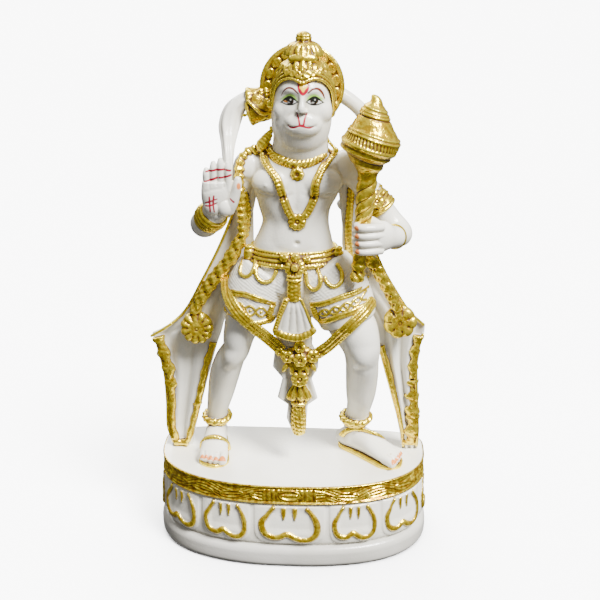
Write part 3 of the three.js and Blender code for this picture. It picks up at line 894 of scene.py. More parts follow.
class PaintedCasting:
    """The finish of a piece: enamel, gold paint where it is gilt, and the fine brushwork on top."""

    group: bpy.types.NodeTree | None = None

    def __init__(self, name: str, enamel: Enamel = Enamel(), gold: GoldPaint = GoldPaint()) -> None:
        """Takes the two paints.

        Args:
            name: Name of the material.
            enamel: The white.
            gold: The gold.
        """
        self.name = name
        self.enamel = enamel
        self.gold = gold

    def build(self) -> bpy.types.Material:
        """Builds the material's nodes.

        Returns:
            The material.
        """
        if PaintedCasting.group is None:
            PaintedCasting.group = cast_surface()
        material = bpy.data.materials.new(self.name)
        material.use_nodes = True
        graph = Graph(material.node_tree)
        shader = material.node_tree.nodes["Principled BSDF"]
        surface = graph.add("ShaderNodeGroup", node_tree=PaintedCasting.group)
        surface.inputs["Ripple"].default_value = self.enamel.ripple
        surface.inputs["Grain"].default_value = self.gold.grain
        surface.inputs["Hammer"].default_value = self.gold.hammer
        tone, recess, edge, strike, height = surface.outputs
        gilt = graph.attribute("gilt").outputs["Fac"]
        brushed = graph.attribute("brushwork")
        white = graph.mix(graph.span(tone, 0.3, 0.75), self.enamel.base, self.enamel.shade)
        # Painted shade: the white darkens towards its recess colour where the surface is sunk.
        white = graph.mix(graph.math("MULTIPLY", recess, 0.4), white, self.enamel.recess)
        white = graph.mix(brushed.outputs["Alpha"], white, brushed.outputs["Color"])
        gold = graph.mix(graph.math("MULTIPLY", strike, 0.7), self.gold.body, self.gold.bright)
        # Painted highlight: the gold brightens on ridges and edges.
        gold = graph.mix(graph.math("MULTIPLY", edge, 0.75), gold, self.gold.bright)
        # Painted shade: the gold goes dark brown in the recesses.
        gold = graph.mix(recess, gold, self.gold.recess)
        graph.feed(shader.inputs["Base Color"], graph.mix(gilt, white, gold))
        shine = graph.math("SUBTRACT", 1.0, graph.math("MULTIPLY", recess, 0.75))
        metal = graph.math("MULTIPLY", graph.math("MULTIPLY", gilt, self.gold.metallic), shine)
        graph.feed(shader.inputs["Metallic"], metal)
        rough = graph.span(gilt, 0.0, 1.0, self.enamel.roughness, self.gold.roughness)
        rough = graph.math("MULTIPLY_ADD", tone, 0.12, graph.math("SUBTRACT", rough, 0.06))
        graph.feed(shader.inputs["Roughness"], graph.math("MULTIPLY_ADD", recess, 0.2, rough))
        bump = graph.add("ShaderNodeBump")
        bump.inputs["Strength"].default_value = 1.0
        bump.inputs["Distance"].default_value = 0.0006
        graph.feed(bump.inputs["Height"], height)
        graph.feed(shader.inputs["Normal"], bump.outputs["Normal"])
        return material


# Pieces


@dataclass
class Head:
    """The head with its long muzzle, on its thick neck; the face is painted with fine brushes."""

    voxel: float = 0.34
    middle: float = 7.1
    eye_height: float = 270.6
    eye_spread: float = 7.9

    def forms(self) -> list[bmesh.types.BMesh]:
        """Skull, neck, muzzle, cheeks, brow, nose and chin."""
        x = self.middle
        return [
            limb([[5.3, -3, 239, 14.5, 12], [5.6, -4.5, 243.5, 17.6, 15], [6, -5, 252, 19.6, 17.6],
                  [6.5, -4.5, 262, 19.9, 17.8], [7, -3.5, 271, 19.6, 18.0], [7.2, -3, 280, 17.2, 17],
                  [7.3, -2, 287, 10, 10]], 40),
            limb([[4, 0, 224, 17.5, 11], [5, -1, 232, 18.8, 13.2], [5.4, -2.4, 240, 18.4, 14.6],
                  [5.8, -3.4, 248, 17.8, 15.4], [6, -4, 254, 16, 14]], 48),
            ball((x, -15.5, 255.5), (13.6, 10.2, 10.8)),
            *(ball((x + side * 4.6, -16.8, 257.0), (8.0, 7.8, 7.2)) for side in (-1, 1)),
            ball((x, -14.6, 249.4), (11.6, 7.6, 7.4)),
            *(ball((x + side * 11.5, -11, 262.5), (8.0, 8, 9.0)) for side in (-1, 1)),
            limb([[x, -19.3, 280, 2.6, 2], [x, -20.6, 275, 2.2, 2], [x, -22.6, 270.5, 2.3, 2.2],
                  [x, -24.6, 266.3, 2.7, 2.4], [x, -24.9, 264.8, 2.5, 1.9]], 20),
            *(ball((x + side * 2.6, -23.4, 264.6), (2.0, 2.0, 1.6)) for side in (-1, 1)),
        ]

    def carve(self, skin: Skin) -> None:
        """Eye sockets, lids, nostrils, the mouth and the folds beside the muzzle."""
        x = self.middle
        nose = np.exp(-(((skin.places - (x, -24, 266)) / (4.4, 9, 8)) ** 2).sum(1))
        skin.soften(0.95 * (1 - 0.8 * nose), 60)
        for side in (-1, 1):
            eye = (x + side * self.eye_spread, -20.5, self.eye_height)
            skin.dab(eye, (6.4, 6, 4.4), -1.3)
            skin.dab(eye, (4.0, 4, 2.3), 1.1)
            skin.dab((x + side * 8, -20, 277.4), (7, 5, 2.4), 0.8)
            skin.dab((x + side * 3.1, -25.4, 263.3), (1.1, 2, 0.8), -0.9)
            skin.groove([(x + side * 4.6, -24, 266), (x + side * 8.5, -21.5, 262),
                         (x + side * 10.5, -20, 257.5)], 1.6, -0.45)
            skin.dab((x + side * 8.6, -22, 255.2), 1.6, -0.5)
        mouth = [(x - 8.2, -22, 255.4), (x - 6, -24.5, 254.4), (x - 2.7, -26.5, 255.6), (x, -26.5, 256.3),
                 (x + 2.7, -26.5, 255.6), (x + 6, -24.5, 254.6), (x + 8.2, -22, 255.3)]
        skin.groove(mouth, 0.9, -0.75)
        skin.groove([(x, -26, 262.5), (x, -27, 257.2)], 1.0, -0.35)

    def paint(self, skin: Skin) -> None:
        """Eyes, brows, mouth, nostril strokes and the mark on the forehead, with a painted highlight on
        each iris and painted shade on the left eye's white.
        """
        brush = Brushwork(skin, 0.05)
        for side, x in ((-1, -0.7), (1, 14.9)):
            z = self.eye_height
            out, inn = x + side * 5.3, x - side * 4.8
            brush.patch(Paint.LIME, [(out + side * 1.0, z + 0.2), (x + side * 2.8, z + 3.4), (x, z + 4.7),
                                     (x - side * 3.4, z + 3.8), (inn, z + 1.0), (x, z + 1.6)], 0.8)
            brush.patch(Paint.WHITE, [(out, z - 1.3), (x + side * 2.6, z + 0.9), (x, z + 2.2),
                                      (x - side * 2.6, z + 1.3), (inn, z - 0.2),
                                      (x - side * 2.0, z - 1.7), (x + side * 1.6, z - 2.1)])
            brush.spot(Paint.IRIS, (x, z + 0.1), (2.7, 2.3))
            brush.spot(Paint.LASH, (x, z + 0.3), (1.7, 1.7))
            # Painted highlight: a small grey glint high on the iris, towards the light.
            brush.spot(Paint.GREY, (x + 0.5, z + 0.9), (0.5, 0.5))
            brush.spot(Paint.GREY, (x - 0.9, z - 0.9), (0.9, 0.45), 0.3)
            brush.stroke(Paint.LASH, [(out + side * 0.8, z - 1.6, 0.3), (x + side * 2.7, z + 1.1, 0.75),
                                      (x, z + 2.4, 0.85), (x - side * 2.7, z + 1.4, 0.7),
                                      (inn - side * 0.4, z - 0.4, 0.35)])
            brush.stroke(Paint.LASH, [(out, z - 1.5, 0.35), (x + side * 1.6, z - 2.4, 0.5),
                                      (x - side * 2.0, z - 2.0, 0.5), (inn, z - 0.4, 0.3)])
        # Painted shade: an amber spot on the left part of the left eye's white, on the side away from the
        # light.
        brush.spot(Paint.AMBER, (-3.6, self.eye_height - 0.6), (1.2, 0.7), 0.3)
        brush.stroke(Paint.BROWN, [(-6.4, 273.4, 0.2), (-4.6, 276.8, 0.38), (-1.9, 278.8, 0.6),
                                   (1.2, 278.6, 0.65), (4.6, 275.8, 0.45)])
        brush.stroke(Paint.BROWN, [(11.0, 276.0, 0.45), (14.1, 278.4, 0.65), (17.4, 278.2, 0.75),
                                   (19.9, 275.4, 0.7), (21.4, 271.6, 0.35)])
        for colour, wide, foot in ((Paint.RED, 3.7, 274.4), (Paint.YELLOW, 2.3, 276.6)):
            brush.patch(colour, [(7.9 - wide, 287), (7.9 - wide, 283), (7.9 - wide, 279.2),
                                 (7.9 - wide * 0.7, foot + 2.0), (7.9, foot),
                                 (7.9 + wide * 0.7, foot + 2.0),
                                 (8.1 + wide, 279.4), (8.1 + wide, 283), (8.1 + wide, 287),
                                 (7.9, 288)])
        brush.stroke(Paint.CRIMSON, [(-1.7, 255.9, 0.25), (0.2, 254.3, 0.6), (2.6, 254.6, 0.65),
                                     (4.8, 255.6, 0.6), (7.2, 255.9, 0.9), (9.8, 255.0, 0.65),
                                     (12.4, 254.4, 0.6), (15.0, 255.2, 0.25)])
        brush.stroke(Paint.RED, [(3.9, 263.6, 0.35), (5.2, 260, 0.6), (5.9, 256.2, 0.7)])
        brush.stroke(Paint.RED, [(10.7, 264.0, 0.35), (9.2, 260.4, 0.6), (8.4, 256.2, 0.7)])
        brush.stroke(Paint.DUSK, [(3.4, 264.4, 0.25), (4.3, 263.2, 0.45)], 0.3)
        brush.finish()

    def build(self) -> Piece:
        """Presses, casts, carves and paints the head."""
        clay = Clay("head", self.voxel)
        clay.press(*self.forms())
        piece = clay.cast(4)
        self.carve(piece.skin)
        self.paint(piece.skin)
        return piece


@dataclass
class Crown:
    """The tall crown: a ridged rim that dips over the brow, a leafy dome, a lobed cap and a bud."""

    voxel: float = 0.36
    middle: tuple[float, float] = (7.3, -2.5)
    profile: tuple = ((0, 258.4), (12, 258.4), (17, 257.6), (20.6, 258.2), (21.0, 264), (21.2, 272),
                      (20.4, 277), (19.3, 280.5), (17.9, 284), (16.4, 288), (15.4, 290), (14.0, 292),
                      (11.4, 293.6), (9.6, 294.6), (9.6, 295.6), (11.2, 296.2), (12.5, 297.2),
                      (12.4, 299.2), (11.4, 301.4), (9.2, 304), (6.8, 305.1), (5.2, 305.8), (4.8, 306.6),
                      (5.2, 308), (4.8, 309.6), (3.2, 311.2), (1.3, 312), (0, 312.2))
    foot: float = 257.6
    rim_reach: float = 20
    rim_turns: tuple = (0, 12, 28, 45, 58, 66, 70, 72)
    rim_heights: tuple = (281.6, 283.6, 284.6, 282.6, 278.6, 273, 265, 250)

    def radius(self, turn: np.ndarray | float, z: np.ndarray | float) -> np.ndarray:
        """The outer radius at a turn from the front, in degrees, and a height."""
        plain = np.interp(z, [height for _, height in self.profile[3:]],
                          [reach for reach, _ in self.profile[3:]])
        cone = np.interp(z, (284, 288, 304, 306), (17.9, 16.6, 9.0, 5.2))
        front = np.exp(-((turn / 36) ** 4)) * ease(z, 286, 290) * ease(-z, -306, -304.6)
        return plain + front * (cone - plain)

    def rim(self, turn: np.ndarray) -> np.ndarray:
        """Height of the face opening's edge at a turn from the front, in degrees."""
        return np.interp(np.abs(turn), self.rim_turns, self.rim_heights)

    def on(self, turn: float, z: float, lift: float = 0.0) -> tuple[float, float, float]:
        """A place on the crown, by its turn from the front in degrees and its height."""
        reach = float(self.radius(turn, z)) + lift
        angle = math.radians(turn)
        return (self.middle[0] + reach * math.sin(angle), self.middle[1] - reach * math.cos(angle), z)

    def relief(self, turn: np.ndarray, z: np.ndarray) -> np.ndarray:
        """Upright leaves on the dome, lobes on the cap, petals on the bud, and the opening for the face."""
        front = (np.degrees(turn) + 90 + 180) % 360 - 180
        rise = (z - self.rim(front)) / 5.4
        row = np.floor(rise)
        share = rise - row
        leaf = (np.abs(np.sin(19 * turn + row * math.pi / 2)) ** 0.6
                * np.sin(math.pi * (0.15 + 0.8 * share)) ** 0.6)
        dome = ease(z, 260, 264) * ease(-z, -294, -292) * (1 - 0.6 * ease(np.abs(front), 90, 120))
        height = dome * (1.5 * leaf - 1.0)
        cap = ease(z, 296, 297) * ease(-z, -305.4, -304.2)
        height += cap * (1.3 * np.sqrt(np.abs(np.cos(9 * (turn + math.pi / 2)))) - 0.8)
        strokes = np.abs(np.sin(15 * turn + 0.5 * np.abs(front) / 9 + (z - 290) * 0.35 * np.sign(front)))
        brow = ease(z, 293.4, 295) * ease(-z, -303, -301) * np.exp(-((front / 38) ** 4))
        height += brow * (0.9 * strokes - 0.7)
        bud = ease(z, 305.6, 306.4)
        height += bud * (0.8 * np.abs(np.cos(4 * (turn + math.pi / 2))) - 0.5
                         - 0.6 * np.exp(-((z - 308.8) / 0.5) ** 2))
        height += self.radius(front, z) - self.radius(180.0, z)
        opening = ease(self.rim(front) - z, 0.0, 0.5)
        return np.where(opening > 0, -opening * (self.radius(180.0, z) - 12.5) + (1 - opening) * height,
                        height)

    def rim_cord(self, offset: float, radius: float, style: Weave) -> bmesh.types.BMesh:
        """One ridge of the rim, running beside the opening's edge."""
        turns = np.linspace(-71, 71, 61)
        flat = np.stack([np.radians(turns) * self.rim_reach, self.rim(turns)], 1)
        flat[:, 1] = np.convolve(np.pad(flat[:, 1], 2, mode="edge"), np.ones(5) / 5, "valid")
        ahead = np.gradient(flat, axis=0)
        beside = np.stack([-ahead[:, 1], ahead[:, 0]], 1) / np.linalg.norm(ahead, axis=1)[:, None]
        flat = flat + beside * offset
        places = [self.on(math.degrees(s / self.rim_reach), max(z, self.foot), 0.25) for s, z in flat[::2]]
        return cord(places, radius, style, 2.0, 0.3, 12)

    def forms(self) -> list[bmesh.types.BMesh]:
        """The shell, its rim, the lotus over the brow with its scrolls, and the side bosses."""
        x, y = self.middle
        made = [turned(self.profile, (x, y, 0), (x, y, 1), self.relief, 240, 260)]
        made += [self.rim_cord(0.4, 0.9, Weave.BEADS), self.rim_cord(2.7, 1.0, Weave.PLAIN),
                 self.rim_cord(4.9, 0.75, Weave.PLAIN)]
        for turn, height, size, lean in ((0, 292.0, 4.6, 0), (0, 299.4, 4.6, 0), (17, 292.4, 4.2, 20),
                                         (13, 298.6, 4.0, 22), (32, 291.0, 3.4, 30), (46, 289.6, 3.0, 34)):
            for side in ((-1, 1) if turn else (1,)):
                made.append(self.leaf(side * turn, height, size, side * lean))
        for side in (-1, 1):
            for start, height, size in ((9.5, 287.6, 2.2), (22, 288.0, 1.9), (36, 288.2, 1.7)):
                made.append(self.curl(side * start, height, size, side))
            made.append(ball(self.on(side * 76, 266, 0.6), (2.6, 2.6, 3.0)))
        made.append(ball(self.on(0, 296, -2.3), (9.5, 3.4, 3.8)))
        for k in range(9):
            made.append(self.leaf((k - 4) * 40, 304.2, 2.0, 0))
        return made

    def leaf(self, turn: float, z: float, size: float, lean: float) -> bmesh.types.BMesh:
        """A pointed leaf that lies on the crown, leaning by so many degrees."""
        tilt = math.radians(lean)

        def seat(a: np.ndarray, b: np.ndarray, h: np.ndarray) -> Points:
            """The place on the crown, across, up and out by these amounts."""
            across = a * math.cos(tilt) + b * math.sin(tilt)
            height = z + b * math.cos(tilt) - a * math.sin(tilt)
            angle = math.radians(turn) + across / float(self.radius(turn, z))
            reach = self.radius(np.degrees(angle), height) + h
            return np.stack([self.middle[0] + reach * np.sin(angle), self.middle[1] - reach * np.cos(angle),
                             height], 1)

        def relief(reach: np.ndarray, round_: np.ndarray) -> np.ndarray:
            """A swelling with a vein along its middle."""
            vein = np.abs(reach * np.cos(round_))
            swell = size * 0.22 * np.sqrt(np.clip(1 - reach ** 2, 0, 1))
            return swell + 0.4 * np.exp(-(vein / 0.1) ** 2) + 0.3
        return medallion(seat, size, relief, leaf_outline(0.66), 1.5, 48, 28)

    def curl(self, turn: float, z: float, size: float, side: int) -> bmesh.types.BMesh:
        """A scroll that winds in on the crown's surface."""
        points = []
        for k in range(14):
            share = k / 13
            reach = size * (1 - 0.75 * share)
            angle = side * (share * 3.4 * math.pi - math.pi / 2)
            place = self.on(turn + math.degrees(reach * math.sin(angle) / 17), z - reach * math.cos(angle),
                            0.7)
            points.append((*place, 0.85 * (1 - 0.4 * share)))
        return cord(points, 0.7, sides=10)

    def build(self) -> Piece:
        """Presses and casts the crown."""
        clay = Clay("crown", self.voxel)
        clay.gild(*self.forms())
        return clay.cast(1)


def leaf_outline(slim: float) -> Callable[[np.ndarray], np.ndarray]:
    """A pointed leaf's outline, standing up: reach against turn."""
    def outline(turn: np.ndarray) -> np.ndarray:
        """An oval drawn out to a tip."""
        tip = np.exp(-((((turn - math.pi / 2 + math.pi) % (2 * math.pi) - math.pi) / 0.42) ** 2))
        oval = slim / np.sqrt((slim * np.sin(turn)) ** 2 + np.cos(turn) ** 2)
        return 0.85 * oval + 0.3 * tip
    return outline


def blossom(seat: Callable[..., Points], radius: float, petals: int, rise: float = 1.6,
            heart: float = 0.36) -> bmesh.types.BMesh:
    """A round flower: petals about a ringed heart, with a small bead in the middle."""
    def relief(reach: np.ndarray, turn: np.ndarray) -> np.ndarray:
        """Ringed heart, bead and petals."""
        petal = np.sqrt(np.abs(np.cos(petals * turn / 2)))
        band = ease(reach, heart, heart + 0.12)
        ring = np.exp(-(((reach - heart) / 0.09) ** 2))
        bead = np.exp(-((reach / (heart * 0.42)) ** 2))
        slope = np.sqrt(np.clip(1 - ((reach - 0.68) / 0.36) ** 2, 0, 1))
        return rise * (0.35 + band * slope * (0.25 + 0.55 * petal) + 0.75 * ring + 0.7 * bead)

    def outline(turn: np.ndarray) -> np.ndarray:
        """The petals' rounded edge."""
        return 0.86 + 0.14 * np.sqrt(np.abs(np.cos(petals * turn / 2)))
    return medallion(seat, radius, relief, outline, 2.2, max(72, petals * 10), 56)


@dataclass
class Halo:
    """The disc behind the crown, with a broad edge, a ring of flat ovals and a hatched inner band."""

    voxel: float = 0.42
    place: tuple[float, float, float] = (5.6, 14.6, 273.7)
    radius: float = 28.7
    beads: int = 17

    def relief(self, reach: np.ndarray, turn: np.ndarray) -> np.ndarray:
        """Broad outer ring, flat ovals and a hatched inner band, as a height."""
        ring = np.sqrt(np.clip(1 - ((reach - 0.945) / 0.062) ** 2, 0, 1))
        share = ((turn * self.beads / (2 * math.pi)) % 1 - 0.5) * 2
        oval = 1 - (np.abs(share) / 0.86) ** 3 - (np.abs(reach - 0.8) / 0.082) ** 2.4
        flat = ease(oval, 0, 0.45) * (1 - 0.3 * ease(oval, 0.55, 0.9))
        hatch = 0.6 + 0.4 * np.cos(6 * self.beads * turn)
        inner = 0.8 * hatch * np.exp(-(((reach - 0.62) / 0.05) ** 2))
        ridges = np.exp(-(((reach - 0.69) / 0.02) ** 2)) + inner
        return 1.3 * ring + 1.0 * flat + 0.9 * ridges + 0.6

    def build(self) -> Piece:
        """Casts the disc and dabs two small black spots on it."""
        clay = Clay("halo", self.voxel)
        clay.gild(medallion(seat_at(self.place), self.radius, self.relief, None, 3.4, 300, 150))
        piece = clay.cast(1)
        brush = Brushwork(piece.skin, 0.2)
        for place in ((-15.8, 289.4), (31.6, 280.6)):
            brush.spot(Paint.LASH, place, (0.8, 0.7))
        brush.finish()
        return piece


@dataclass
class Tail:
    """The tail: over behind the halo, through a gold bell and down to a tuft of hair."""

    voxel: float = 0.5
    arch: tuple = ((34, 11, 192), (44, 14, 202), (51.5, 18, 214), (54, 20.5, 228), (52, 20.5, 243.5),
                   (45.4, 20.5, 256.4), (31.8, 20.5, 267.2), (18, 20.5, 274), (4, 20.5, 276), (-9, 20, 273),
                   (-20, 18, 267))

    def build(self) -> Piece:
        """Presses tail, bell and tuft and casts them."""
        clay = Clay("tail", self.voxel)
        clay.press(limb([(*place, 4.9, 4.9) for place in self.arch], 32))
        strands = waves((0.35, 7, 0.09), (0.25, 4, -0.06))
        clay.press(limb([[-29, 16, 266.6, 4, 4], [-35, 16, 262.6, 5, 5], [-40.2, 15.5, 256.4, 6.8, 6],
                         [-43.2, 11.5, 247.4, 7.1, 6], [-43.6, 5, 240, 5.5, 5.2],
                         [-43.2, -2, 234.6, 4.3, 4.2], [-42.6, -8, 226, 3.4, 3.4],
                         [-42.4, -13, 214, 2.6, 2.6]], 60, relief=strands))
        bell = [[0, -3], [5.4, -3], [6.2, -1.5], [6.0, 0], [6.9, 1.6], [6.0, 3.4], [6.7, 5], [5.8, 6.8],
                [6.0, 9.6], [6.4, 12], [7.2, 14], [6.6, 15.4], [0, 15.6]]
        clay.gild(turned(bell, (-16.5, 17, 267.2), (-32.2, 16, 265),
                         waves((0.3, 14, 0.5)), 64, 90))
        fold = waves((0.5, 3, 0))
        clay.gild(limb([[-23, 13, 266, 5.6, 4.5], [-24, 12, 260, 8.2, 5.6], [-25.2, 11, 255, 7.4, 5.0],
                        [-26.8, 10.6, 251, 3.8, 3.4], [-27.4, 10.6, 247.9, 0.7, 0.7]], 48, relief=fold),
                  limb([[-17, 13, 264, 5, 4], [-18, 12, 258, 6.2, 4.4], [-20.4, 12, 253, 4.0, 3.0],
                        [-21.4, 12, 250.4, 1.0, 1.0]], 40, relief=fold),
                  cord([(-31.4, 8, 263), (-30.4, 6.6, 257), (-27.8, 7.4, 250.4)], 1.0),
                  cord([(-30, 7.4, 264.6), (-25, 5.4, 260.4), (-20.4, 7.0, 256.4), (-15, 9.4, 256.6)], 1.1),
                  ball((-32.8, 10.4, 254.6), (1.5, 1.4, 1.2)))
        return clay.cast(2)


@dataclass
class Body:
    """Trunk and both arms, with the necklaces, the armband and the bracelets."""

    voxel: float = 0.5
    shoulder_border: tuple = ((-19, -3, 236), (-24.4, -1.5, 234.6), (-28.8, -1.0, 232.8),
                              (-33.1, -4.2, 229), (-35, -7.4, 224), (-35.2, -9, 216), (-34.6, -8.6, 206),
                              (-34.2, -7.6, 194), (-33.8, -7.4, 185), (-33.9, -7.2, 177))

    def forms(self) -> list[bmesh.types.BMesh]:
        """The white forms."""
        return [
            limb([[1, -3, 160, 29.5, 17], [1.2, -3.2, 166, 28.6, 17.2], [1.9, -3.4, 175, 25.5, 16.9],
                  [2.3, -3, 186.5, 22.7, 15.6], [1.9, -2.4, 197, 25.2, 16.3], [2.2, -2, 205, 28.2, 16.8],
                  [3.5, -1, 217, 30.6, 16.2], [4.4, 0, 226, 29, 14.2], [4.8, 0, 232, 22, 12.5],
                  [5, 0, 237, 16, 11.5]], 56),
            ball((-11.5, -10.5, 214.5), (15.5, 9.2, 10.4)),
            ball((18.5, -10.5, 214.8), (15.5, 9.2, 10.4)),
            ball((-29, 3, 221), (11.5, 11, 11.5)),
            ball((36.5, 3, 222), (12, 11, 12)),
            ball((2.6, -6.5, 178), (17, 13.4, 13)),
            limb([[-29, 3, 223, 10, 10], [-37, 5, 208, 9.4, 9.6], [-46, 6.5, 195, 9.0, 9.2],
                  [-55.5, 6.5, 185.5, 9.0, 9.2], [-61, 1, 181.6, 9.4, 9.4], [-58.6, -9, 184.6, 9.6, 9.2],
                  [-53.5, -18, 192.5, 9.0, 8.4], [-49, -25, 200, 8.2, 6.8]], 36),
            limb([[37, 3, 224, 10.4, 10.2], [47.5, 4.2, 209.6, 9.3, 9.4], [57.6, 5, 195.4, 9.1, 9.2],
                  [66.8, 4.4, 183.6, 9.0, 9.0], [73.8, -1, 177.2, 8.5, 8.5], [69.4, -14, 178.8, 7.4, 7.2],
                  [61, -26, 182.5, 7.6, 7.0]], 36),
            ball((-61.5, 4, 180.5), (7.2, 7.2, 6.6)),
            ball((75.2, 2.5, 175.8), (7.0, 7.2, 6.6)),
        ]

    def carve(self, skin: Skin) -> None:
        """Breast, ribs, navel and the creases of the arms."""
        skin.soften(0.9 * (1 - skin.read("gilt")), 26)
        skin.groove([(-23, -14, 210), (-16, -18, 206.8), (-6, -20, 206.2), (0, -20, 208.5)], 1.5, -0.9)
        skin.groove([(29, -14, 210), (22, -18, 206.8), (14, -20, 206.2), (7.5, -20, 208.5)], 1.5, -0.9)
        skin.groove([(3.4, -20, 222), (3.6, -20, 206), (3.8, -20, 198)], 2.2, -0.7)
        skin.dab((4.0, -20.4, 174.7), (1.7, 4, 1.5), -2.2)
        skin.groove([(-9, -19, 170), (0, -21, 167.4), (8, -21, 167.4), (15, -19, 170)], 2.5, -0.4)
        skin.groove([(-17, -13, 194), (-13, -16, 186), (-13, -16, 176)], 4, -0.5)
        skin.groove([(21, -13, 194), (18, -16, 186), (18, -16, 176)], 4, -0.5)
        for place in ((-16.8, -19, 214.4), (24.4, -18, 214.8)):
            skin.dab(place, (1.3, 3, 1.3), 0.55)
        skin.groove([(-56, -3, 190), (-55, -1, 184)], 1.6, -0.5)
        skin.groove([(66, -5.6, 184), (69.4, -4, 179.6)], 1.6, -0.5)

    def ornaments(self, clay: Clay) -> None:
        """Hangs the necklaces on the chest and rings the arms."""
        collar = [(-17.2, 237), (-13.6, 233.8), (-8, 231.2), (0, 229.2), (6.5, 228.8),
                  (13, 230.2), (18.6, 232.6), (23, 235.6)]
        for drop, lift, radius, style, pitch in ((2.0, 0.3, 1.3, Weave.PLAIN, 2.4),
                                                 (-0.7, 0.7, 2.1, Weave.ROPE, 2.9),
                                                 (-3.2, 0.2, 0.8, Weave.BEADS, 1.9)):
            clay.trim([(x, z + drop) for x, z in collar], lift, radius, style, pitch, 1.0, 20, 0.8)
        for side, strand in ((-1, [(-19.6, 234.5), (-16.8, 227.8), (-8.6, 218.6), (-4.6, 206),
                                   (-1.4, 197), (1.0, 193)]),
                             (1, [(27.4, 233.2), (20.6, 225.7), (15.8, 216), (14.8, 205.9),
                                  (11.2, 197), (8.4, 193)])):
            clay.trim([(x + side * 1.5, z) for x, z in strand], 0.9, 1.5, Weave.BEADS, 2.4, 1.1)
            clay.trim([(x - side * 1.2, z) for x, z in strand], 0.8, 1.2)
        clay.gild(limb([[-14.4, -3, 247, 1.5, 1.5], [-15.6, -3, 244.6, 2.6, 2.6],
                        [-18.2, -3.4, 240.6, 3.6, 3.4], [-20.4, -3.6, 237.4, 4.0, 3.8],
                        [-21.6, -3.6, 235.4, 2.8, 2.8]], 32, spacing=0.5,
                       relief=self.twist),
                  ball((-13.8, -3, 249), (1.6, 1.6, 1.7)), ball((29.0, -5.4, 235.2), (2.0, 1.8, 2.3)),
                  cord([(22.8, -4, 250), (22.4, -4.6, 246), (24, -5, 241.6), (26.4, -5, 238.6),
                        (28.8, -5, 236)], 1.0,
                       Weave.BEADS, 1.9, 0.6))
        for (x, z), radius, petals in (((4.0, 221.6), 4.7, 8), ((4.1, 189.6), 6.2, 10)):
            clay.gild(blossom(seat_at(clay.at(x, z, 0.2), (0, -1, 0.1)), radius, petals, 1.7))
        clay.trim([(4, 228), (4, 225)], 0.8, 1.3, Weave.BEADS, 1.5)
        clay.gild(cord(self.shoulder_border, 2.7, Weave.KNOTS, 4.6, 1.1, 20, 0.75))
        self.rings(clay)

    def twist(self, turn: np.ndarray, run: np.ndarray) -> np.ndarray:
        """Strands that wind round the coil."""
        return 0.6 * np.abs(np.cos(0.5 * turn + run * 1.35)) - 0.3

    def rings(self, clay: Clay) -> None:
        """The armband with its flower and the two bracelets."""
        swirl = waves((0.5, 5, 1), (0.45, 0, 2.6))
        clay.gild(limb([[51.6, 4.6, 203.6, 9.6, 9.8], [54.2, 4.8, 200.4, 10.4, 10.4],
                        [57.4, 5, 196.2, 10.6, 10.6], [59.6, 5, 193.2, 10.4, 10.6]], 60, relief=swirl,
                       blunt=0.1, spacing=0.6),
                  blossom(seat_at((57.0, -5.4, 200.6), (0.1, -1, 0.25)), 5.4, 6, 2.0))
        for slip in (0.0, 2.4):
            ringed = hoop((60.2 - slip * 0.6, 5, 192.6 + slip * 0.8), (8.7, 0, 6.3), (0, 10.9, 0), 18)
            clay.gild(cord(ringed, 1.0, ring=True, facing=UP))
        clay.gild(limb([[70.6, -12.2, 178.5, 8.0, 8.0], [69.4, -14.4, 178.9, 9.0, 8.8],
                        [68.2, -16.6, 179.5, 8.2, 8.2]], 40, blunt=0.1, spacing=0.5))
        clay.gild(limb([[-56.6, -14.4, 188.6, 9.6, 9.0], [-55.2, -16.6, 190.4, 10.8, 10.2],
                        [-52.6, -19.6, 193.6, 11.0, 10.2], [-50.8, -21.8, 196.2, 9.8, 8.8]], 48,
                       relief=waves((0.35, 0, 2.2)), blunt=0.1, spacing=0.5))

    def build(self) -> Piece:
        """Presses, casts and carves the body."""
        clay = Clay("body", self.voxel)
        clay.press(*self.forms())
        self.ornaments(clay)
        piece = clay.cast(2)
        self.carve(piece.skin)
        return piece


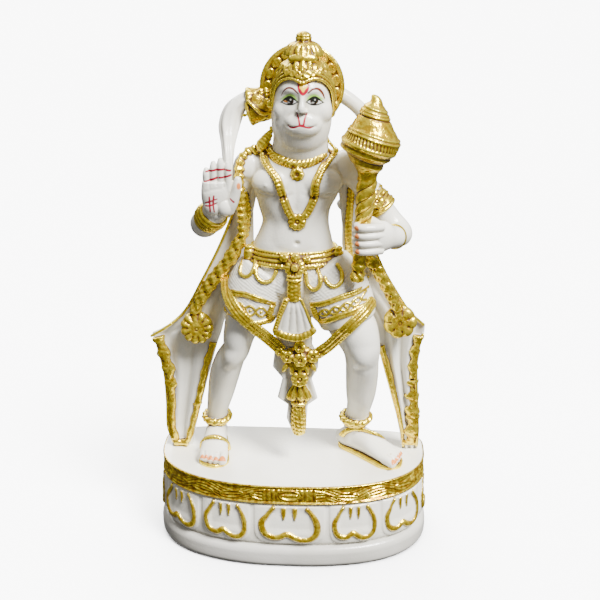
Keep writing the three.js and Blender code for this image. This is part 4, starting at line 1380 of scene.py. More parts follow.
@dataclass
class RaisedHand:
    """The open hand, palm to the front, with its painted palm lines."""

    voxel: float = 0.34
    fingers: tuple = ((-54.4, 228.4), (-49.7, 232.8), (-45.0, 235.0), (-40.3, 232.6))
    brush_width: float = 1.45

    def build(self) -> Piece:
        """Presses, casts, carves and paints the hand."""
        clay = Clay("raised_hand", self.voxel)
        clay.press(limb([[-52.2, -20.4, 194.4, 8.0, 6.6], [-49.6, -25, 199.6, 8.6, 6.4],
                         [-47.8, -27.6, 206, 10.6, 5.6], [-47.0, -28.8, 213, 11.2, 5.0],
                         [-46.8, -29.4, 219.5, 10.6, 4.0]], 40, blunt=0.3))
        for x, tip in self.fingers:
            clay.press(limb([[x * 0.96 - 1.8, -29.2, 214, 2.5, 2.9], [x, -29.8, 221, 2.55, 2.7],
                             [x, -30.2, tip - 3, 2.4, 2.4], [x, -29.8, tip - 0.8, 1.7, 1.8]], 24,
                            blunt=0.9))
        clay.press(limb([[-41.6, -27, 200.5, 5.4, 5.0], [-38.2, -28.6, 206, 4.4, 4.2],
                         [-35.6, -30, 212.5, 3.3, 3.3], [-34.2, -30.6, 218, 2.9, 2.9],
                         [-33.9, -30.4, 221.4, 2.2, 2.2]], 28, blunt=0.9),
                   ball((-50.6, -29.4, 203.6), (6.6, 4.2, 7.2)),
                   ball((-43.2, -29.6, 202.6), (5.2, 4.6, 6.6)))
        piece = clay.cast(3)
        skin = piece.skin
        for x, z in ((-52.2, 219), (-47.4, 221), (-42.6, 220)):
            skin.groove([(x, -33, z - 3), (x, -33, z + 11)], 0.8, -0.5)
        skin.groove([(-55, -34, 213.4), (-49, -34, 215.4), (-42, -34, 216)], 1.2, -0.3)
        brush = Brushwork(skin, 0.0)
        for line in self.palm_lines():
            brush.stroke(Paint.CRIMSON, [(x, z, self.brush_width * wide) for x, z, wide in line])
        brush.spot(Paint.ORANGE, (-33.2, 217.6), (1.3, 2.3), 0.4)
        brush.finish()
        return piece

    def palm_lines(self) -> list[list[tuple[float, float, float]]]:
        """The red brush lines across the fingers, on the palm and on the thumb, as x, z and half width."""
        return [
            [(-54.4, 226.8, 0.35), (-50.4, 227.6, 0.5), (-46.5, 228.3, 0.55), (-42.6, 228.4, 0.5)],
            [(-41.0, 228.3, 0.5), (-38.6, 227.7, 0.55)],
            [(-55.6, 220.4, 0.35), (-53.0, 220.8, 0.45), (-50.2, 221.8, 0.6), (-47.4, 222.8, 0.55)],
            [(-45.6, 223.0, 0.55), (-43.0, 223.2, 0.5), (-40.8, 223.9, 0.5), (-38.4, 224.6, 0.55)],
            [(-52.4, 210.2, 0.4), (-52.3, 205.4, 0.5), (-52.1, 200.2, 0.4)],
            [(-49.4, 211.0, 0.45), (-50.0, 205.8, 0.45), (-49.5, 200.0, 0.35)],
            [(-55.2, 206.0, 0.35), (-52.6, 207.0, 0.45), (-47.4, 209.0, 0.3)],
            [(-55.0, 204.0, 0.4), (-52.8, 204.2, 0.45), (-49.4, 205.4, 0.4), (-47.4, 206.4, 0.25)],
            [(-38.9, 209.0, 0.3), (-36.6, 206.8, 0.5)],
        ]


@dataclass
class MaceFist:
    """The fist round the mace, its four fingers laid across the shaft."""

    voxel: float = 0.38
    first_finger: float = 192.2
    finger_pitch: float = 5.35

    def build(self) -> Piece:
        """Presses, casts, carves and paints the fist."""
        clay = Clay("mace_fist", self.voxel)
        clay.press(limb([[70.2, -17.4, 179.6, 7.2, 7.0], [65, -24, 181.6, 8.2, 7.2],
                         [60.5, -29, 183.6, 10.6, 7.6], [56.6, -31.4, 184.4, 10.4, 7.0]], 36, UP))
        for finger in range(4):
            z = self.first_finger - finger * self.finger_pitch
            reach = 42.6 + 0.5 * abs(finger - 1.2)
            clay.press(limb([[60, -34.0, z - 0.4, 2.7, 3.2], [53, -37.6, z, 2.75, 3.3],
                             [47, -38.6, z + 0.1, 2.7, 3.1], [reach + 1, -37, z + 0.1, 2.4, 2.6],
                             [reach + 0.4, -33, z, 2.4, 2.6]], 24, UP))
        clay.press(limb([[58, -30, 191, 4, 4], [51, -25, 193.5, 3.4, 3.4], [44.5, -24, 192.5, 3.2, 3.2]],
                        24, UP))
        piece = clay.cast(3)
        skin = piece.skin
        for gap in range(3):
            z = self.first_finger - 2.6 - gap * self.finger_pitch
            skin.groove([(43, -39, z), (50, -41, z), (56, -40, z - 0.4)], 0.75, -0.7)
        brush = Brushwork(skin, -0.2)
        for finger in range(4):
            z = 192.4 - finger * 5.3
            brush.spot(Paint.ORANGE, (43.6 + 0.3 * finger % 1, z), (1.5, 1.7), 0.3)
        brush.finish()
        return piece


@dataclass
class Mace:
    """The mace: a twisted shaft, ringed collars, a swelling head and a tip bent to one side."""

    voxel: float = 0.42
    foot: tuple[float, float, float] = (44.8, -30, 151.7)
    head: tuple[float, float, float] = (52.8, -24.6, 264)
    profile: tuple = ((0, 0), (3.4, 0.6), (4.7, 3.2), (4.3, 6), (3.7, 8), (4.9, 10.6), (4.4, 14), (4.3, 22),
                      (4.7, 34), (5.3, 46), (5.9, 60), (6.2, 68), (6.4, 73), (7.2, 75.4), (8.6, 77.6),
                      (10, 80), (11.4, 82), (13.8, 85), (16.4, 87.8), (18.0, 90.2), (18.7, 92.8),
                      (18.5, 95.4), (17.4, 98.2), (15.7, 101.2), (14, 103.6), (12.8, 106), (11.8, 108),
                      (10.4, 110.2), (9.4, 112.4), (8.1, 115), (7.0, 117), (4.8, 119), (0, 120))
    twist: float = 8.0
    collars: tuple = ((12, 0.5, 0.8), (79.6, 0.8, 1.0), (83.0, -0.9, 1.0), (86.6, 1.2, 1.3),
                      (91.6, 0.9, 1.2), (99.0, 0.9, 0.7), (101.4, 1.0, 0.8), (110.6, -0.6, 0.6),
                      (112.2, 0.9, 0.6), (114.0, 0.9, 0.7), (116.6, 0.9, 0.8))

    def relief(self, turn: np.ndarray, t: np.ndarray) -> np.ndarray:
        """Twisted shaft, sloping rings and the fluted underside, as a height."""
        sloped = t + np.cos(turn) * (2.0 * ease(t, 66, 80) + 2.6 * ease(t, 80, 88) * ease(-t, -106, -98))
        shaft = ease(t, 14, 17) * ease(-t, -72, -68)
        spiral = np.abs(np.sin(0.5 * (3 * turn - 2 * math.pi * t / self.twist)))
        made = shaft * (1.5 * np.sqrt(spiral) - 0.9) * (0.7 + 0.3 * ease(t, 20, 60))
        for place, height, width in self.collars:
            made += height * np.exp(-(((sloped - place) / width) ** 2))
        flutes = ease(sloped, 92.8, 93.6) * ease(-sloped, -98, -97.2)
        made += flutes * (0.5 * np.cos(48 * turn) - 0.4)
        foot = ease(-t, -9, -8)
        return made + foot * 0.5 * np.cos(5 * turn + t)

    def build(self) -> Piece:
        """Presses and casts the mace."""
        clay = Clay("mace", self.voxel)
        clay.gild(turned(self.profile, self.foot, self.head, self.relief, 220, 320),
                  limb([[52.8, -24.5, 266, 6.6, 6.4], [53.2, -24.4, 268.6, 6.0, 5.8],
                        [53.8, -24.4, 270.8, 4.9, 4.8], [53.7, -24.3, 272.6, 3.8, 3.6],
                        [53.0, -24.2, 274.2, 2.6, 2.5], [51.9, -24, 275.5, 1.2, 1.2]], 28))
        return clay.cast(1)


@dataclass
class Hips:
    """Short trousers with cuffs, the belt with its loops, and the apron that hangs before them."""

    voxel: float = 0.45

    def forms(self) -> list[bmesh.types.BMesh]:
        """The white forms: hips and the two trouser legs."""
        return [
            limb([[1, -2, 163, 30, 19], [1, -2, 156, 33, 20], [2, -2, 148, 37.4, 20.8],
                  [3, -3, 138, 40.5, 20], [3, -4, 129, 32, 15]], 56, blunt=0.3),
            limb([[-17, -4, 148, 21, 19], [-24.5, -6, 136, 21.4, 19.4], [-28, -7, 124, 19.6, 18.9],
                  [-29.6, -8, 117.4, 18.0, 18]], 48, blunt=0.2),
            limb([[19, -5, 149, 24, 19.5], [30, -8, 136, 24.6, 20.9], [36.5, -10, 125, 22.0, 20.4],
                  [39.4, -11, 117, 20, 19.4]], 48, blunt=0.2),
        ]

    def belt(self, clay: Clay) -> None:
        """The belt's bands and end plates, its buds and flower, and the loops that hang from it."""
        bands = ((167.2, 1.1, Weave.BEADS, 29.0, 17.8), (164.8, 1.5, Weave.PLAIN, 29.8, 18.6),
                 (161.8, 1.5, Weave.PLAIN, 30.8, 19.4), (158.6, 1.9, Weave.BEADS, 32.0, 20.0))
        for z, radius, style, wide, deep in bands:
            ringed = hoop((1, -2, z), (wide, 0, 0), (0, deep, 0), 24)
            clay.gild(cord(ringed, radius, style, 2.0, 0.8, 14, 0.9, ring=True, facing=UP))
        for x, y in ((-29.4, -8.4), (31.6, -8.4)):
            clay.gild(limb([[x, y, 168, 3.0, 3.2], [x, y - 0.6, 163.2, 3.9, 4.2],
                            [x * 1.02, y, 157.8, 3.0, 3.2]], 32,
                           relief=waves((0.3, 0, 2.2))))
        for x, z, size in ((-4.6, 165.4, 3.3), (3.2, 165.4, 3.2), (10.8, 163.8, 2.8)):
            place = clay.at(x, z, 0.9, Pot.GOLD)
            clay.gild(blossom(seat_at(place), size, 5, 1.5), ball(place, (size * 0.5, 2.2, size * 0.5)))
        clay.gild(blossom(seat_at((2.8, -23.4, 158.6), (0, -1, 0.25)), 7.2, 14, 1.5, 0.4),
                  ball((2.8, -24.2, 158.8), (3.0, 2.4, 3.0)),
                  blossom(seat_at((2.8, -26.2, 159.2), (0, -1, 0.25)), 2.6, 6, 0.9))
        for loop, radius, style in (
                ([(-30.4, 161), (-34.6, 156), (-34.4, 151.2), (-29.4, 151), (-25.4, 156), (-24.6, 160.6)],
                 1.15, Weave.ROPE),
                ([(-23.2, 160), (-23.4, 152.4), (-19.2, 148.2), (-13.6, 148.8), (-9.8, 155)], 1.25,
                 Weave.ROPE),
                ([(10.0, 155), (11.6, 147), (15.6, 144), (19.6, 146.8), (20.2, 152), (18.2, 156.6)], 1.35,
                 Weave.BEADS),
                ([(21.7, 158.4), (24.4, 150), (29.3, 146.8), (34.0, 149.4), (34.6, 154.6), (31.4, 160)],
                 1.25, Weave.ROPE)):
            clay.trim(loop, 0.5, radius, style, 1.8)

    def apron(self, clay: Clay) -> None:
        """The textured tab, the pleated apron with its borders and the cloth behind it."""
        def pleats(t: np.ndarray, s: np.ndarray) -> np.ndarray:
            """Broad pleats that open downwards."""
            return 1.1 * np.sqrt(np.abs(np.cos(t * 4.5 * math.pi))) * ease(s, 0, 0.25)

        def grain(turn: np.ndarray, run: np.ndarray) -> np.ndarray:
            """The tab's chased surface."""
            return 0.4 * np.cos(run * 2.4 + np.cos(3 * turn)) * np.cos(5 * turn)
        clay.press(drape([[137, -2.6, 7.0, -24.6], [131, -4.4, 9.4, -24.2], [126, -6.4, 11.6, -23.8],
                          [116, -9.2, 14.8, -23.2], [109.4, -10.6, 16.0, -23]], pleats, 3.6),
                   drape([[112, -9.6, 14.4, -15], [103, -10.6, 15.0, -14.4], [96.6, -10.9, 14.6, -14]],
                         pleats, 3.0))
        clay.gild(limb([[2.6, -23.6, 154, 4.3, 2.2], [2.4, -24.9, 145, 4.6, 2.3],
                        [2.3, -25, 135.4, 4.9, 2.4]], 40,
                       relief=grain, blunt=0.2, spacing=0.6),
                  cord([(-2.2, -25.6, 153.2), (2.6, -26.4, 152.6), (7.2, -25.6, 153.2)], 0.9),
                  cord([(-2.4, -25.8, 150.6), (2.6, -26.8, 150.0), (7.4, -25.8, 150.6)], 0.9),
                  cord([(-2.8, -26.6, 136.6), (-6.8, -25.8, 126), (-11.0, -24.6, 112.6)], 1.9, Weave.HATCH,
                       2.2, 0.5),
                  cord([(7.4, -26.4, 136.6), (11.4, -25.8, 126), (15.6, -24.8, 115)], 0.95, Weave.ROPE, 1.8,
                       0.3),
                  cord([(-11.2, -24.8, 112.4), (-4, -25.6, 109.6), (4, -26.0, 108.4), (11, -25.6, 110.4),
                        (16.4, -24.8, 114.2)], 2.5, Weave.BEADS, 3.0, 0.7, flat=0.6),
                  cord([(-11.4, -25.0, 110.2), (-4, -25.8, 107.4), (4, -26.2, 106.2), (11, -25.8, 108.2),
                        (16.8, -25.0, 112.2)], 0.9, Weave.BEADS, 1.8, 0.4))

    def cuffs(self, clay: Clay) -> None:
        """Double gold lines round each thigh, with an end block and leaf scrolls between them."""
        for line, radius in (
                ([(-48, 137.6), (-38.2, 138.6), (-31.4, 139), (-22.4, 136.4), (-10.8, 130.6)], 0.95),
                ([(-46.4, 123), (-38, 119.4), (-28, 117.8), (-19, 118), (-12.2, 119.6)], 1.2),
                ([(13.6, 132.2), (22.8, 135.2), (34.9, 140), (45.7, 142.4), (53, 143.4)], 0.95),
                ([(19.4, 119.8), (24, 121.6), (31.1, 125.6), (41.2, 129.4), (50, 132), (55.4, 132.6)],
                 1.15)):
            for slip in (-1.0, 1.0):
                clay.trim([(x, z + slip) for x, z in line], 0.35, radius)
        for inner, outer, low, high in (((19.8, 126.8), (51.5, 138.6), 2.5, 4.5),
                                        ((-16.6, 125.6), (-42, 130.4), 3.4, 3.5)):
            for side in (-1, 1):
                share = np.linspace(0, 1, 45)
                x, z = (inner[k] + (outer[k] - inner[k]) * share for k in range(2))
                z = z + side * low * np.abs(np.cos(high * math.pi * share + math.pi / 2)) ** 0.8
                clay.trim(np.column_stack([x, z]), 0.1, 0.8, sides=12)
            for k in range(int(high)):
                share = (k + 0.5) / high
                spot = [inner[i] + (outer[i] - inner[i]) * share for i in range(2)]
                clay.gild(ball(clay.at(*spot, 0.2), (1.1, 1.0, 0.9), sides=16))
        for block in ([(15.2, 131, 2.2), (17.0, 127.2, 2.7), (18.8, 122.6, 2.3)],
                      [(-13.2, 129.2, 2.3), (-14.6, 125, 2.8), (-15.6, 120.8, 2.4)]):
            clay.trim(block, 0.1, 2.4, Weave.HATCH, 1.6, 0.4, flat=0.7)

    def carve(self, skin: Skin) -> None:
        """The fine wavy hatch worked into the trousers' cloth."""
        x, y, z = skin.places.T
        white = 1 - skin.read("gilt")
        cloth = ease(z, 127, 130) * ease(-z, -158, -155) * white
        zone = cloth * ease(-y, 0, 6) * ease(np.abs(x - 3), 8, 11)
        wave = np.sin(2 * math.pi * (z - 0.7 * np.abs(x - 3)) / 2.3 + 1.6 * np.sin(0.6 * (x + 0.4 * z)))
        across = np.sin(2 * math.pi * (z + 0.8 * np.abs(x - 3)) / 3.1 + 1.1 * np.sin(0.5 * z))
        skin.push(zone * (0.11 * wave + 0.07 * across))

    def build(self) -> Piece:
        """Presses, casts and carves the hips."""
        clay = Clay("hips", self.voxel)
        clay.press(*self.forms())
        self.cuffs(clay)
        self.belt(clay)
        self.apron(clay)
        piece = clay.cast(2)
        self.carve(piece.skin)
        return piece


def drape(rows: Sequence[Sequence[float]], fold: Callable[[np.ndarray, np.ndarray], np.ndarray],
          thick: float = 4.0, across: int = 96, along: int = 120) -> bmesh.types.BMesh:
    """Hanging cloth with two faces and soft edges.

    Args:
        rows: Rows of height, left, right and depth, from the top down.
        fold: How far the cloth stands forward, against its shares across and down.
        thick: Its thickness.
        across: Faces round it.
        along: Faces down it.

    Returns:
        The closed form.
    """
    given = np.asarray(rows, float)
    run = run_along(np.column_stack([given[:, 0], given[:, 1:3].mean(1)]))
    share = run / run[-1]

    def shape(u: np.ndarray, v: np.ndarray) -> Points:
        """Across the front and back again behind."""
        t = 1 - np.abs(2 * u - 1)
        front = np.where(u < 0.5, 1.0, -1.0)
        z, left, right, deep = (np.interp(v, share, given[:, k]) for k in range(4))
        half = thick / 2 * np.sqrt(np.clip(1 - (2 * t - 1) ** 10, 0, 1)) * (1 - np.abs(2 * v - 1) ** 40)
        return np.stack([left + (right - left) * t, deep - fold(t, v) - front * half, z], 1)

    return roll(shape, across, along)


@dataclass
class Leg:
    """A leg with its foot in a sandal and its anklet."""

    name: str
    stations: tuple
    heel: tuple[float, float]
    toe: tuple[float, float]
    inner: int
    knee: tuple[float, float, float]
    ankle: tuple
    strap: tuple
    toes: tuple = ((4.0, 8.0, 3.3), (1.8, 3.2, 2.5), (0.2, -0.7, 2.3), (-1.8, -4.1, 2.1),
                   (-4.0, -7.2, 1.95))
    voxel: float = 0.48

    def spot(self, share: float, aside: float, z: float) -> tuple[float, float, float]:
        """A place on the foot: its share from heel to toe, the distance aside and the height."""
        ahead, side, length = self.way()
        x, y = np.asarray(self.heel) + ahead * length * share + side * aside
        return (float(x), float(y), z)

    def way(self) -> tuple[Points, Points, float]:
        """The direction from heel to toe, the one towards the great toe and the foot's length."""
        gap = np.subtract(self.toe, self.heel)
        length = float(np.linalg.norm(gap))
        ahead = gap / length
        return ahead, np.array((-ahead[1], ahead[0])) * self.inner, length

    def foot(self) -> list[bmesh.types.BMesh]:
        """The foot itself: heel, instep and five toes."""
        side, length = self.way()[1:]
        facing = np.array((*side, 0))
        rows = [[0.01, 0, 7, 5, 4.6], [0.1, 0, 8.4, 7, 7], [0.28, 0, 11, 7.9, 9.6],
                [0.45, 0, 10.5, 8.6, 8.8], [0.65, 0.4, 8.2, 9.9, 6.0], [0.82, 0.6, 6.4, 10.7, 4.2],
                [0.9, 0.8, 5.4, 9.6, 3.2]]
        made = [limb([[*self.spot(s, w, z), a, b] for s, w, z, a, b in rows], 40, facing)]
        for back, aside, size in self.toes:
            tip = 0.9 + back / length / 2
            made.append(limb([[*self.spot(tip - 0.13, aside, 6.6), size, size],
                              [*self.spot(tip - 0.04, aside, 5.9), size * 1.02, size],
                              [*self.spot(tip + 0.035, aside, 5.0), size * 1.05, size * 0.86]], 20, facing))
        return made

    def sandal(self) -> list[bmesh.types.BMesh]:
        """The sole, the two cords of the strap over the instep, and the ring on a toe."""
        rows = [(0.0, 0, 6.5), (0.12, 0, 7.6), (0.3, 0, 8.2), (0.6, 0.6, 10), (0.8, 0.8, 11.5),
                (0.92, 1.0, 10), (1.0, 1.5, 6)]

        def shape(u: np.ndarray, v: np.ndarray) -> Points:
            """The sole's outline, drawn in to close its top and foot."""
            turn = 2 * math.pi * (u % 1)
            line = spline(rows, 200)
            around = 0.5 - 0.5 * np.cos(turn)
            s, w, h = (np.interp(around, line[:, 0], line[:, k]) for k in range(3))
            reach = 1 - np.abs(2 * v - 1) ** 6
            ahead, side, length = self.way()
            aside = w + np.sign(np.sin(turn)) * h * np.sqrt(np.clip(1 - (2 * around - 1) ** 8, 0, 1))
            inward = np.clip(reach * 1.02, 0, 1)
            flat = (np.asarray(self.heel) + np.outer(0.5 + (s - 0.5) * inward, ahead * length)
                    + np.outer(aside * inward, side))
            return np.column_stack([flat, -1.5 + 4.9 * v])

        made = [roll(shape, 96, 24)]
        for slip, size, style in ((-0.016, 1.3, Weave.PLAIN), (0.022, 1.5, Weave.ROPE)):
            made.append(cord([self.spot(share + slip, aside, z) for share, aside, z in self.strap], size,
                             style, 2.4, 0.4, 16, 0.8))
        over_toe = ((1.2, 6), (1.6, 8.3), (3.2, 9.1), (4.8, 8.3), (5.2, 6))
        made.append(cord([self.spot(0.86, aside, z) for aside, z in over_toe], 0.8))
        return made

    def anklet(self) -> list[bmesh.types.BMesh]:
        """The twisted ring at the ankle."""
        x, y, z, wide, deep = self.ankle
        ringed = hoop((x, y, z), (wide, 0, 0), (0, deep, 0.8), 16)
        return [cord(ringed, 2.7, Weave.ROPE, 4.2, 1.2, 20, 0.9, ring=True, facing=UP),
                cord(ringed - 3.2 * UP, 0.9, Weave.BEADS, 2.0, 0.4, ring=True, facing=UP)]

    def carve(self, skin: Skin) -> None:
        """Knee, shin, calf and ankle bones."""
        x, y, z = self.knee
        skin.dab((x, y - 13, z), (7, 6, 7.5), 1.3)
        for side in (-6.5, 6.5):
            skin.dab((x + side, y - 9, z + 1), (3, 5, 7), -0.8)
        skin.dab((x, y - 12, z - 9.5), (8, 6, 3), -0.7)
        skin.dab((x, y - 12, z + 10), (9, 6, 3.5), -0.6)
        for aside in (5.7, 1.2, -2.5, -5.7):
            skin.groove([self.spot(0.84, aside, 9), self.spot(0.93, aside, 7.4),
                         self.spot(1.0, aside, 4.4)], 0.8, -0.7)

    def paint(self, skin: Skin) -> None:
        """Nails in orange, seen from above."""
        brush = Brushwork(skin, -2)
        brush.spots = skin.places[:, :2]
        up = ease(skin.normals()[:, 2], 0.1, 0.4) * ease(-skin.places[:, 2], -10, -9)
        brush.ready = up * ease(skin.places[:, 2], 3.6, 4.4)
        length = self.way()[2]
        for back, aside, size in self.toes:
            tip = self.spot(0.9 + back / length / 2 + 0.055, aside, 0)
            brush.spot(Paint.ORANGE, tip[:2], (size * 0.86, size * 0.96), 0.3)
        brush.finish()

    def build(self) -> Piece:
        """Presses, casts, carves and paints the leg."""
        clay = Clay(self.name, self.voxel)
        clay.press(limb(self.stations, 48), *self.foot())
        clay.gild(*self.sandal(), *self.anklet())
        piece = clay.cast(2)
        self.carve(piece.skin)
        self.paint(piece.skin)
        return piece


STRAIGHT_LEG = Leg("straight_leg", (
    (-30, -6, 126, 15.8, 16), (-33.8, -7.2, 114, 13.6, 14.6), (-37.3, -8, 103, 11.4, 13.2),
    (-40, -7, 90.5, 9.8, 11.5), (-43.4, -4, 84, 10, 11.6), (-46, -1, 78, 10.6, 12), (-50, 4, 65, 10.9, 12),
    (-53.7, 9, 48, 9.7, 10.5), (-57.3, 14.8, 31, 7.9, 8.5), (-58.3, 17, 22, 7.2, 8.2),
    (-58.5, 18, 9, 7.5, 9)), (-58.5, 30), (-58.5, -22), 1, (-44, -4, 84), (-58.2, 16.8, 23.4, 8.6, 9.4),
                   ((0.54, -10.2, 3.6), (0.58, -9.2, 9.6), (0.61, -5, 14), (0.62, 0, 15.6), (0.61, 5.4, 14),
                    (0.58, 9.8, 9.6), (0.54, 10.8, 3.6)))
STEPPING_LEG = Leg("stepping_leg", (
    (35, -8, 125, 17, 17), (40.6, -10.4, 115, 16.4, 16.8), (45, -12, 108, 15.8, 16.4),
    (49, -13, 97, 13.4, 14.6), (50, -9, 84, 11.8, 12.8), (50.3, -3, 71, 11.7, 12.5),
    (50, 3, 54, 10.9, 11.2), (49.3, 9, 41, 9.3, 9.5), (47.2, 13.5, 27, 8.1, 8.8), (45, 14, 9, 8, 9)),
                   (35, 21.5), (81, -12.5), -1, (49.6, -11, 92),
                   (46.8, 13, 27.4, 9.8, 9.6),
                   ((0.14, 9, 13), (0.2, 8.6, 17.4), (0.28, 6.4, 20), (0.38, 3.4, 20.4), (0.5, 0.6, 19.4),
                    (0.58, -4.4, 15.6), (0.6, -9, 9), (0.6, -10, 4)))


@dataclass
class Sash:
    """The sash that swings across both thighs to a knot of flowers and a long tassel."""

    voxel: float = 0.42
    left: tuple = ((-46, -5, 143), (-43, -13.5, 135), (-36, -21.5, 126), (-26, -24.6, 115),
                   (-16.5, -21.6, 105.4), (-7, -18.5, 95))
    right: tuple = ((56, -13, 133), (50, -22, 128.4), (41, -28, 120.6), (33, -27.4, 110),
                    (26, -22.5, 100.6), (18, -18.5, 92.5))

    def leaf(self, reach: np.ndarray, turn: np.ndarray) -> np.ndarray:
        """A leaf that swells to its middle."""
        return 1.7 * (1 - reach ** 2)

    def over_trousers(self, line: tuple, lift: float = 2.6) -> list[tuple[float, float, float]]:
        """The line brought forward wherever the trousers would cover it."""
        trousers = Clay("trousers", self.voxel)
        trousers.press(*Hips().forms())
        laid = trousers.hang([(x, 0, z) for x, y, z in line], lift)
        return [(x, min(y, cover[1]), z) for (x, y, z), cover in zip(line, laid)]

    def swag(self, line: tuple) -> list[bmesh.types.BMesh]:
        """One side of the sash: smooth strands between beaded and roped edges, on a thin backing."""
        course = spline(self.over_trousers(line), 13)
        ahead = np.gradient(course, axis=0)
        square = np.stack([-ahead[:, 2], np.zeros(len(course)), ahead[:, 0]], 1)
        square /= np.linalg.norm(square, axis=1)[:, None]
        made = [cord(course + (0, 2.4, 0), 3.7, flat=0.5)]
        for offset, radius, style in ((-3.2, 1.0, Weave.ROPE), (-1.2, 1.3, Weave.PLAIN),
                                      (1.2, 1.3, Weave.PLAIN), (3.2, 1.0, Weave.BEADS)):
            made.append(cord(course + square * offset, radius, style, 2.2, 0.5))
        return made

    def build(self) -> Piece:
        """Presses and casts the sash."""
        clay = Clay("sash", self.voxel)
        clay.press(drape([[124, -10, 14, -11.6], [99, -11.5, 14.5, -13], [89, -12.5, 19.5, -13.2],
                          [80, -13.5, 19, -12.8], [71, -6.6, 14.5, -12.2], [55, -10.3, 19, -11.2],
                          [49.5, -2.7, 11.8, -10.8], [38, -3.8, 11, -10.3], [25, 1, 9, -9.8]],
                         waves((0.9, 4 * math.pi, 0)), 4.4))
        clay.gild(*self.swag(self.left), *self.swag(self.right))
        for x, y, z, size in ((-2.6, -20.2, 91, 5.0), (6.4, -21.0, 89, 5.4), (15.4, -20.2, 91.6, 5.0),
                              (6.1, -20.6, 98.8, 4.6), (-8.0, -19.2, 94.4, 3.6), (20.6, -19.2, 94.8, 3.6)):
            clay.gild(blossom(seat_at((x, y, z), (0, -1, 0.12)), size, 6, 1.9))
        clay.gild(ball((6, -17, 91), (11.5, 4, 6.5)), ball((6, -16.4, 83), (8.6, 3.6, 5)),
                  blossom(seat_at((6.1, -18.4, 73), (0, -1, 0.1)), 6.5, 8, 2.0),
                  ball((6, -15.6, 73), (5.6, 3.2, 5.6)))
        for x, z, lean in ((-4, 82, 0.5), (1, 80.6, 0.2), (6, 80, 0), (11, 80.8, -0.2), (15.6, 82.6, -0.5)):
            clay.gild(medallion(seat_at((x, -18.4, z), (0, -1, 0.1), (-math.sin(lean), 0, -math.cos(lean))),
                                4.0, self.leaf, leaf_outline(0.55), 2.0, 40, 24))
        clay.gild(limb([[5.5, -14, 68, 3.2, 3.0], [5.4, -14.6, 64, 5.8, 3.6], [5.4, -14.8, 59.5, 8.2, 3.8],
                        [5.4, -14.4, 56, 8.8, 3.2], [5.4, -13.8, 54, 6.4, 2.2]], 64,
                       relief=waves((0.55, 9, 0)), spacing=0.8),
                  limb([[5.4, -13.4, 56, 4.4, 3.8], [5.2, -13.2, 47, 5.0, 4.2], [5.2, -12.8, 39, 5.5, 4.5],
                        [5.3, -12.4, 32, 5.3, 4.4], [5.4, -12, 26, 4.3, 3.6]], 64,
                       relief=waves((0.3, 13, 0.2), (0.2, 3, 1.9)),
                       blunt=0.3, spacing=0.7),
                  cord(hoop((5.4, -13.4, 51.6), (4.9, 0, 0), (0, 4.2, 0), 10), 1.0, Weave.ROPE, 2.0, 0.4,
                       ring=True, facing=UP))
        return clay.cast(2)


@dataclass
class Cloak:
    """One fall of the cloak: pleated cloth, gold borders, a knotted roll and a rosette."""

    name: str
    rows: tuple
    borders: tuple
    roll_line: tuple
    rosette: tuple[float, float, float]
    petals: int
    bands: tuple
    pleats: float
    crease: float
    voxel: float = 0.5

    def fold(self, t: np.ndarray, s: np.ndarray) -> np.ndarray:
        """Pleats that fan out towards the floor."""
        fall = ease(s, 0.35, 0.75)
        wave = np.cos(2 * math.pi * (self.pleats * t + 0.12 * np.sin(9 * s)))
        fine = 0.35 * fall * np.cos(2 * math.pi * self.pleats * 2.3 * t)
        return self.crease * ((0.5 + 1.7 * fall) * wave + fine)

    def scrollwork(self, depth: float) -> Relief:
        """Leaf scrolls worked along a border, of a given depth."""
        def relief(turn: np.ndarray, run: np.ndarray) -> np.ndarray:
            """A vine with lobes at the border's edges."""
            vine = np.cos(run * 0.6 + 2.2 * np.cos(turn)) + 0.5 * np.cos(run * 1.7 - 3 * np.cos(turn))
            lobes = np.abs(np.cos(turn)) * np.cos(run * math.pi / 6.5)
            return depth * (0.6 * (vine + 0.9) + 2.0 * lobes)
        return relief

    def knots(self, turn: np.ndarray, run: np.ndarray) -> np.ndarray:
        """The roll's knots, wound and drawn tight at uneven steps."""
        tight = 0.9 * np.abs(np.cos(run * math.pi / 10 + 0.7 * np.sin(run / 7))) ** 0.6
        return tight - 0.5 + 0.4 * np.cos(3 * turn + run * 0.8) + 0.25 * np.cos(7 * turn - run)

    def build(self) -> Piece:
        """Presses and casts the fall."""
        clay = Clay(self.name, self.voxel)
        clay.press(drape(self.rows, self.fold, 5.0, 160, 300))
        for line, radius, style, flat in self.borders:
            clay.trim(line, 0.6, radius, style, 3.0, 0.8, flat=flat)
        for line, wide, depth in self.bands:
            laid = clay.hang([(x, 0, z) for x, z in line], 0.5)
            clay.gild(limb([[x, y, z, wide / 2, 2.6] for x, y, z in laid], 40,
                           relief=self.scrollwork(depth), blunt=0.1, spacing=0.8))
        clay.gild(limb([[*p[:3], p[3], p[3] * 0.9] for p in self.roll_line], 40, relief=self.knots,
                       spacing=0.8))
        for size, lift, rise in ((12.2, 0.0, 3.0), (5.2, 2.2, 1.2)):
            place = np.add(self.rosette, (0, -lift, 0))
            clay.gild(blossom(seat_at(place, (0, -1, 0.15)), size, self.petals, rise, 0.4))
        clay.gild(ball(np.add(self.rosette, (0, 2.4, 0)), (11.4, 4.6, 12)))
        return clay.cast(2)


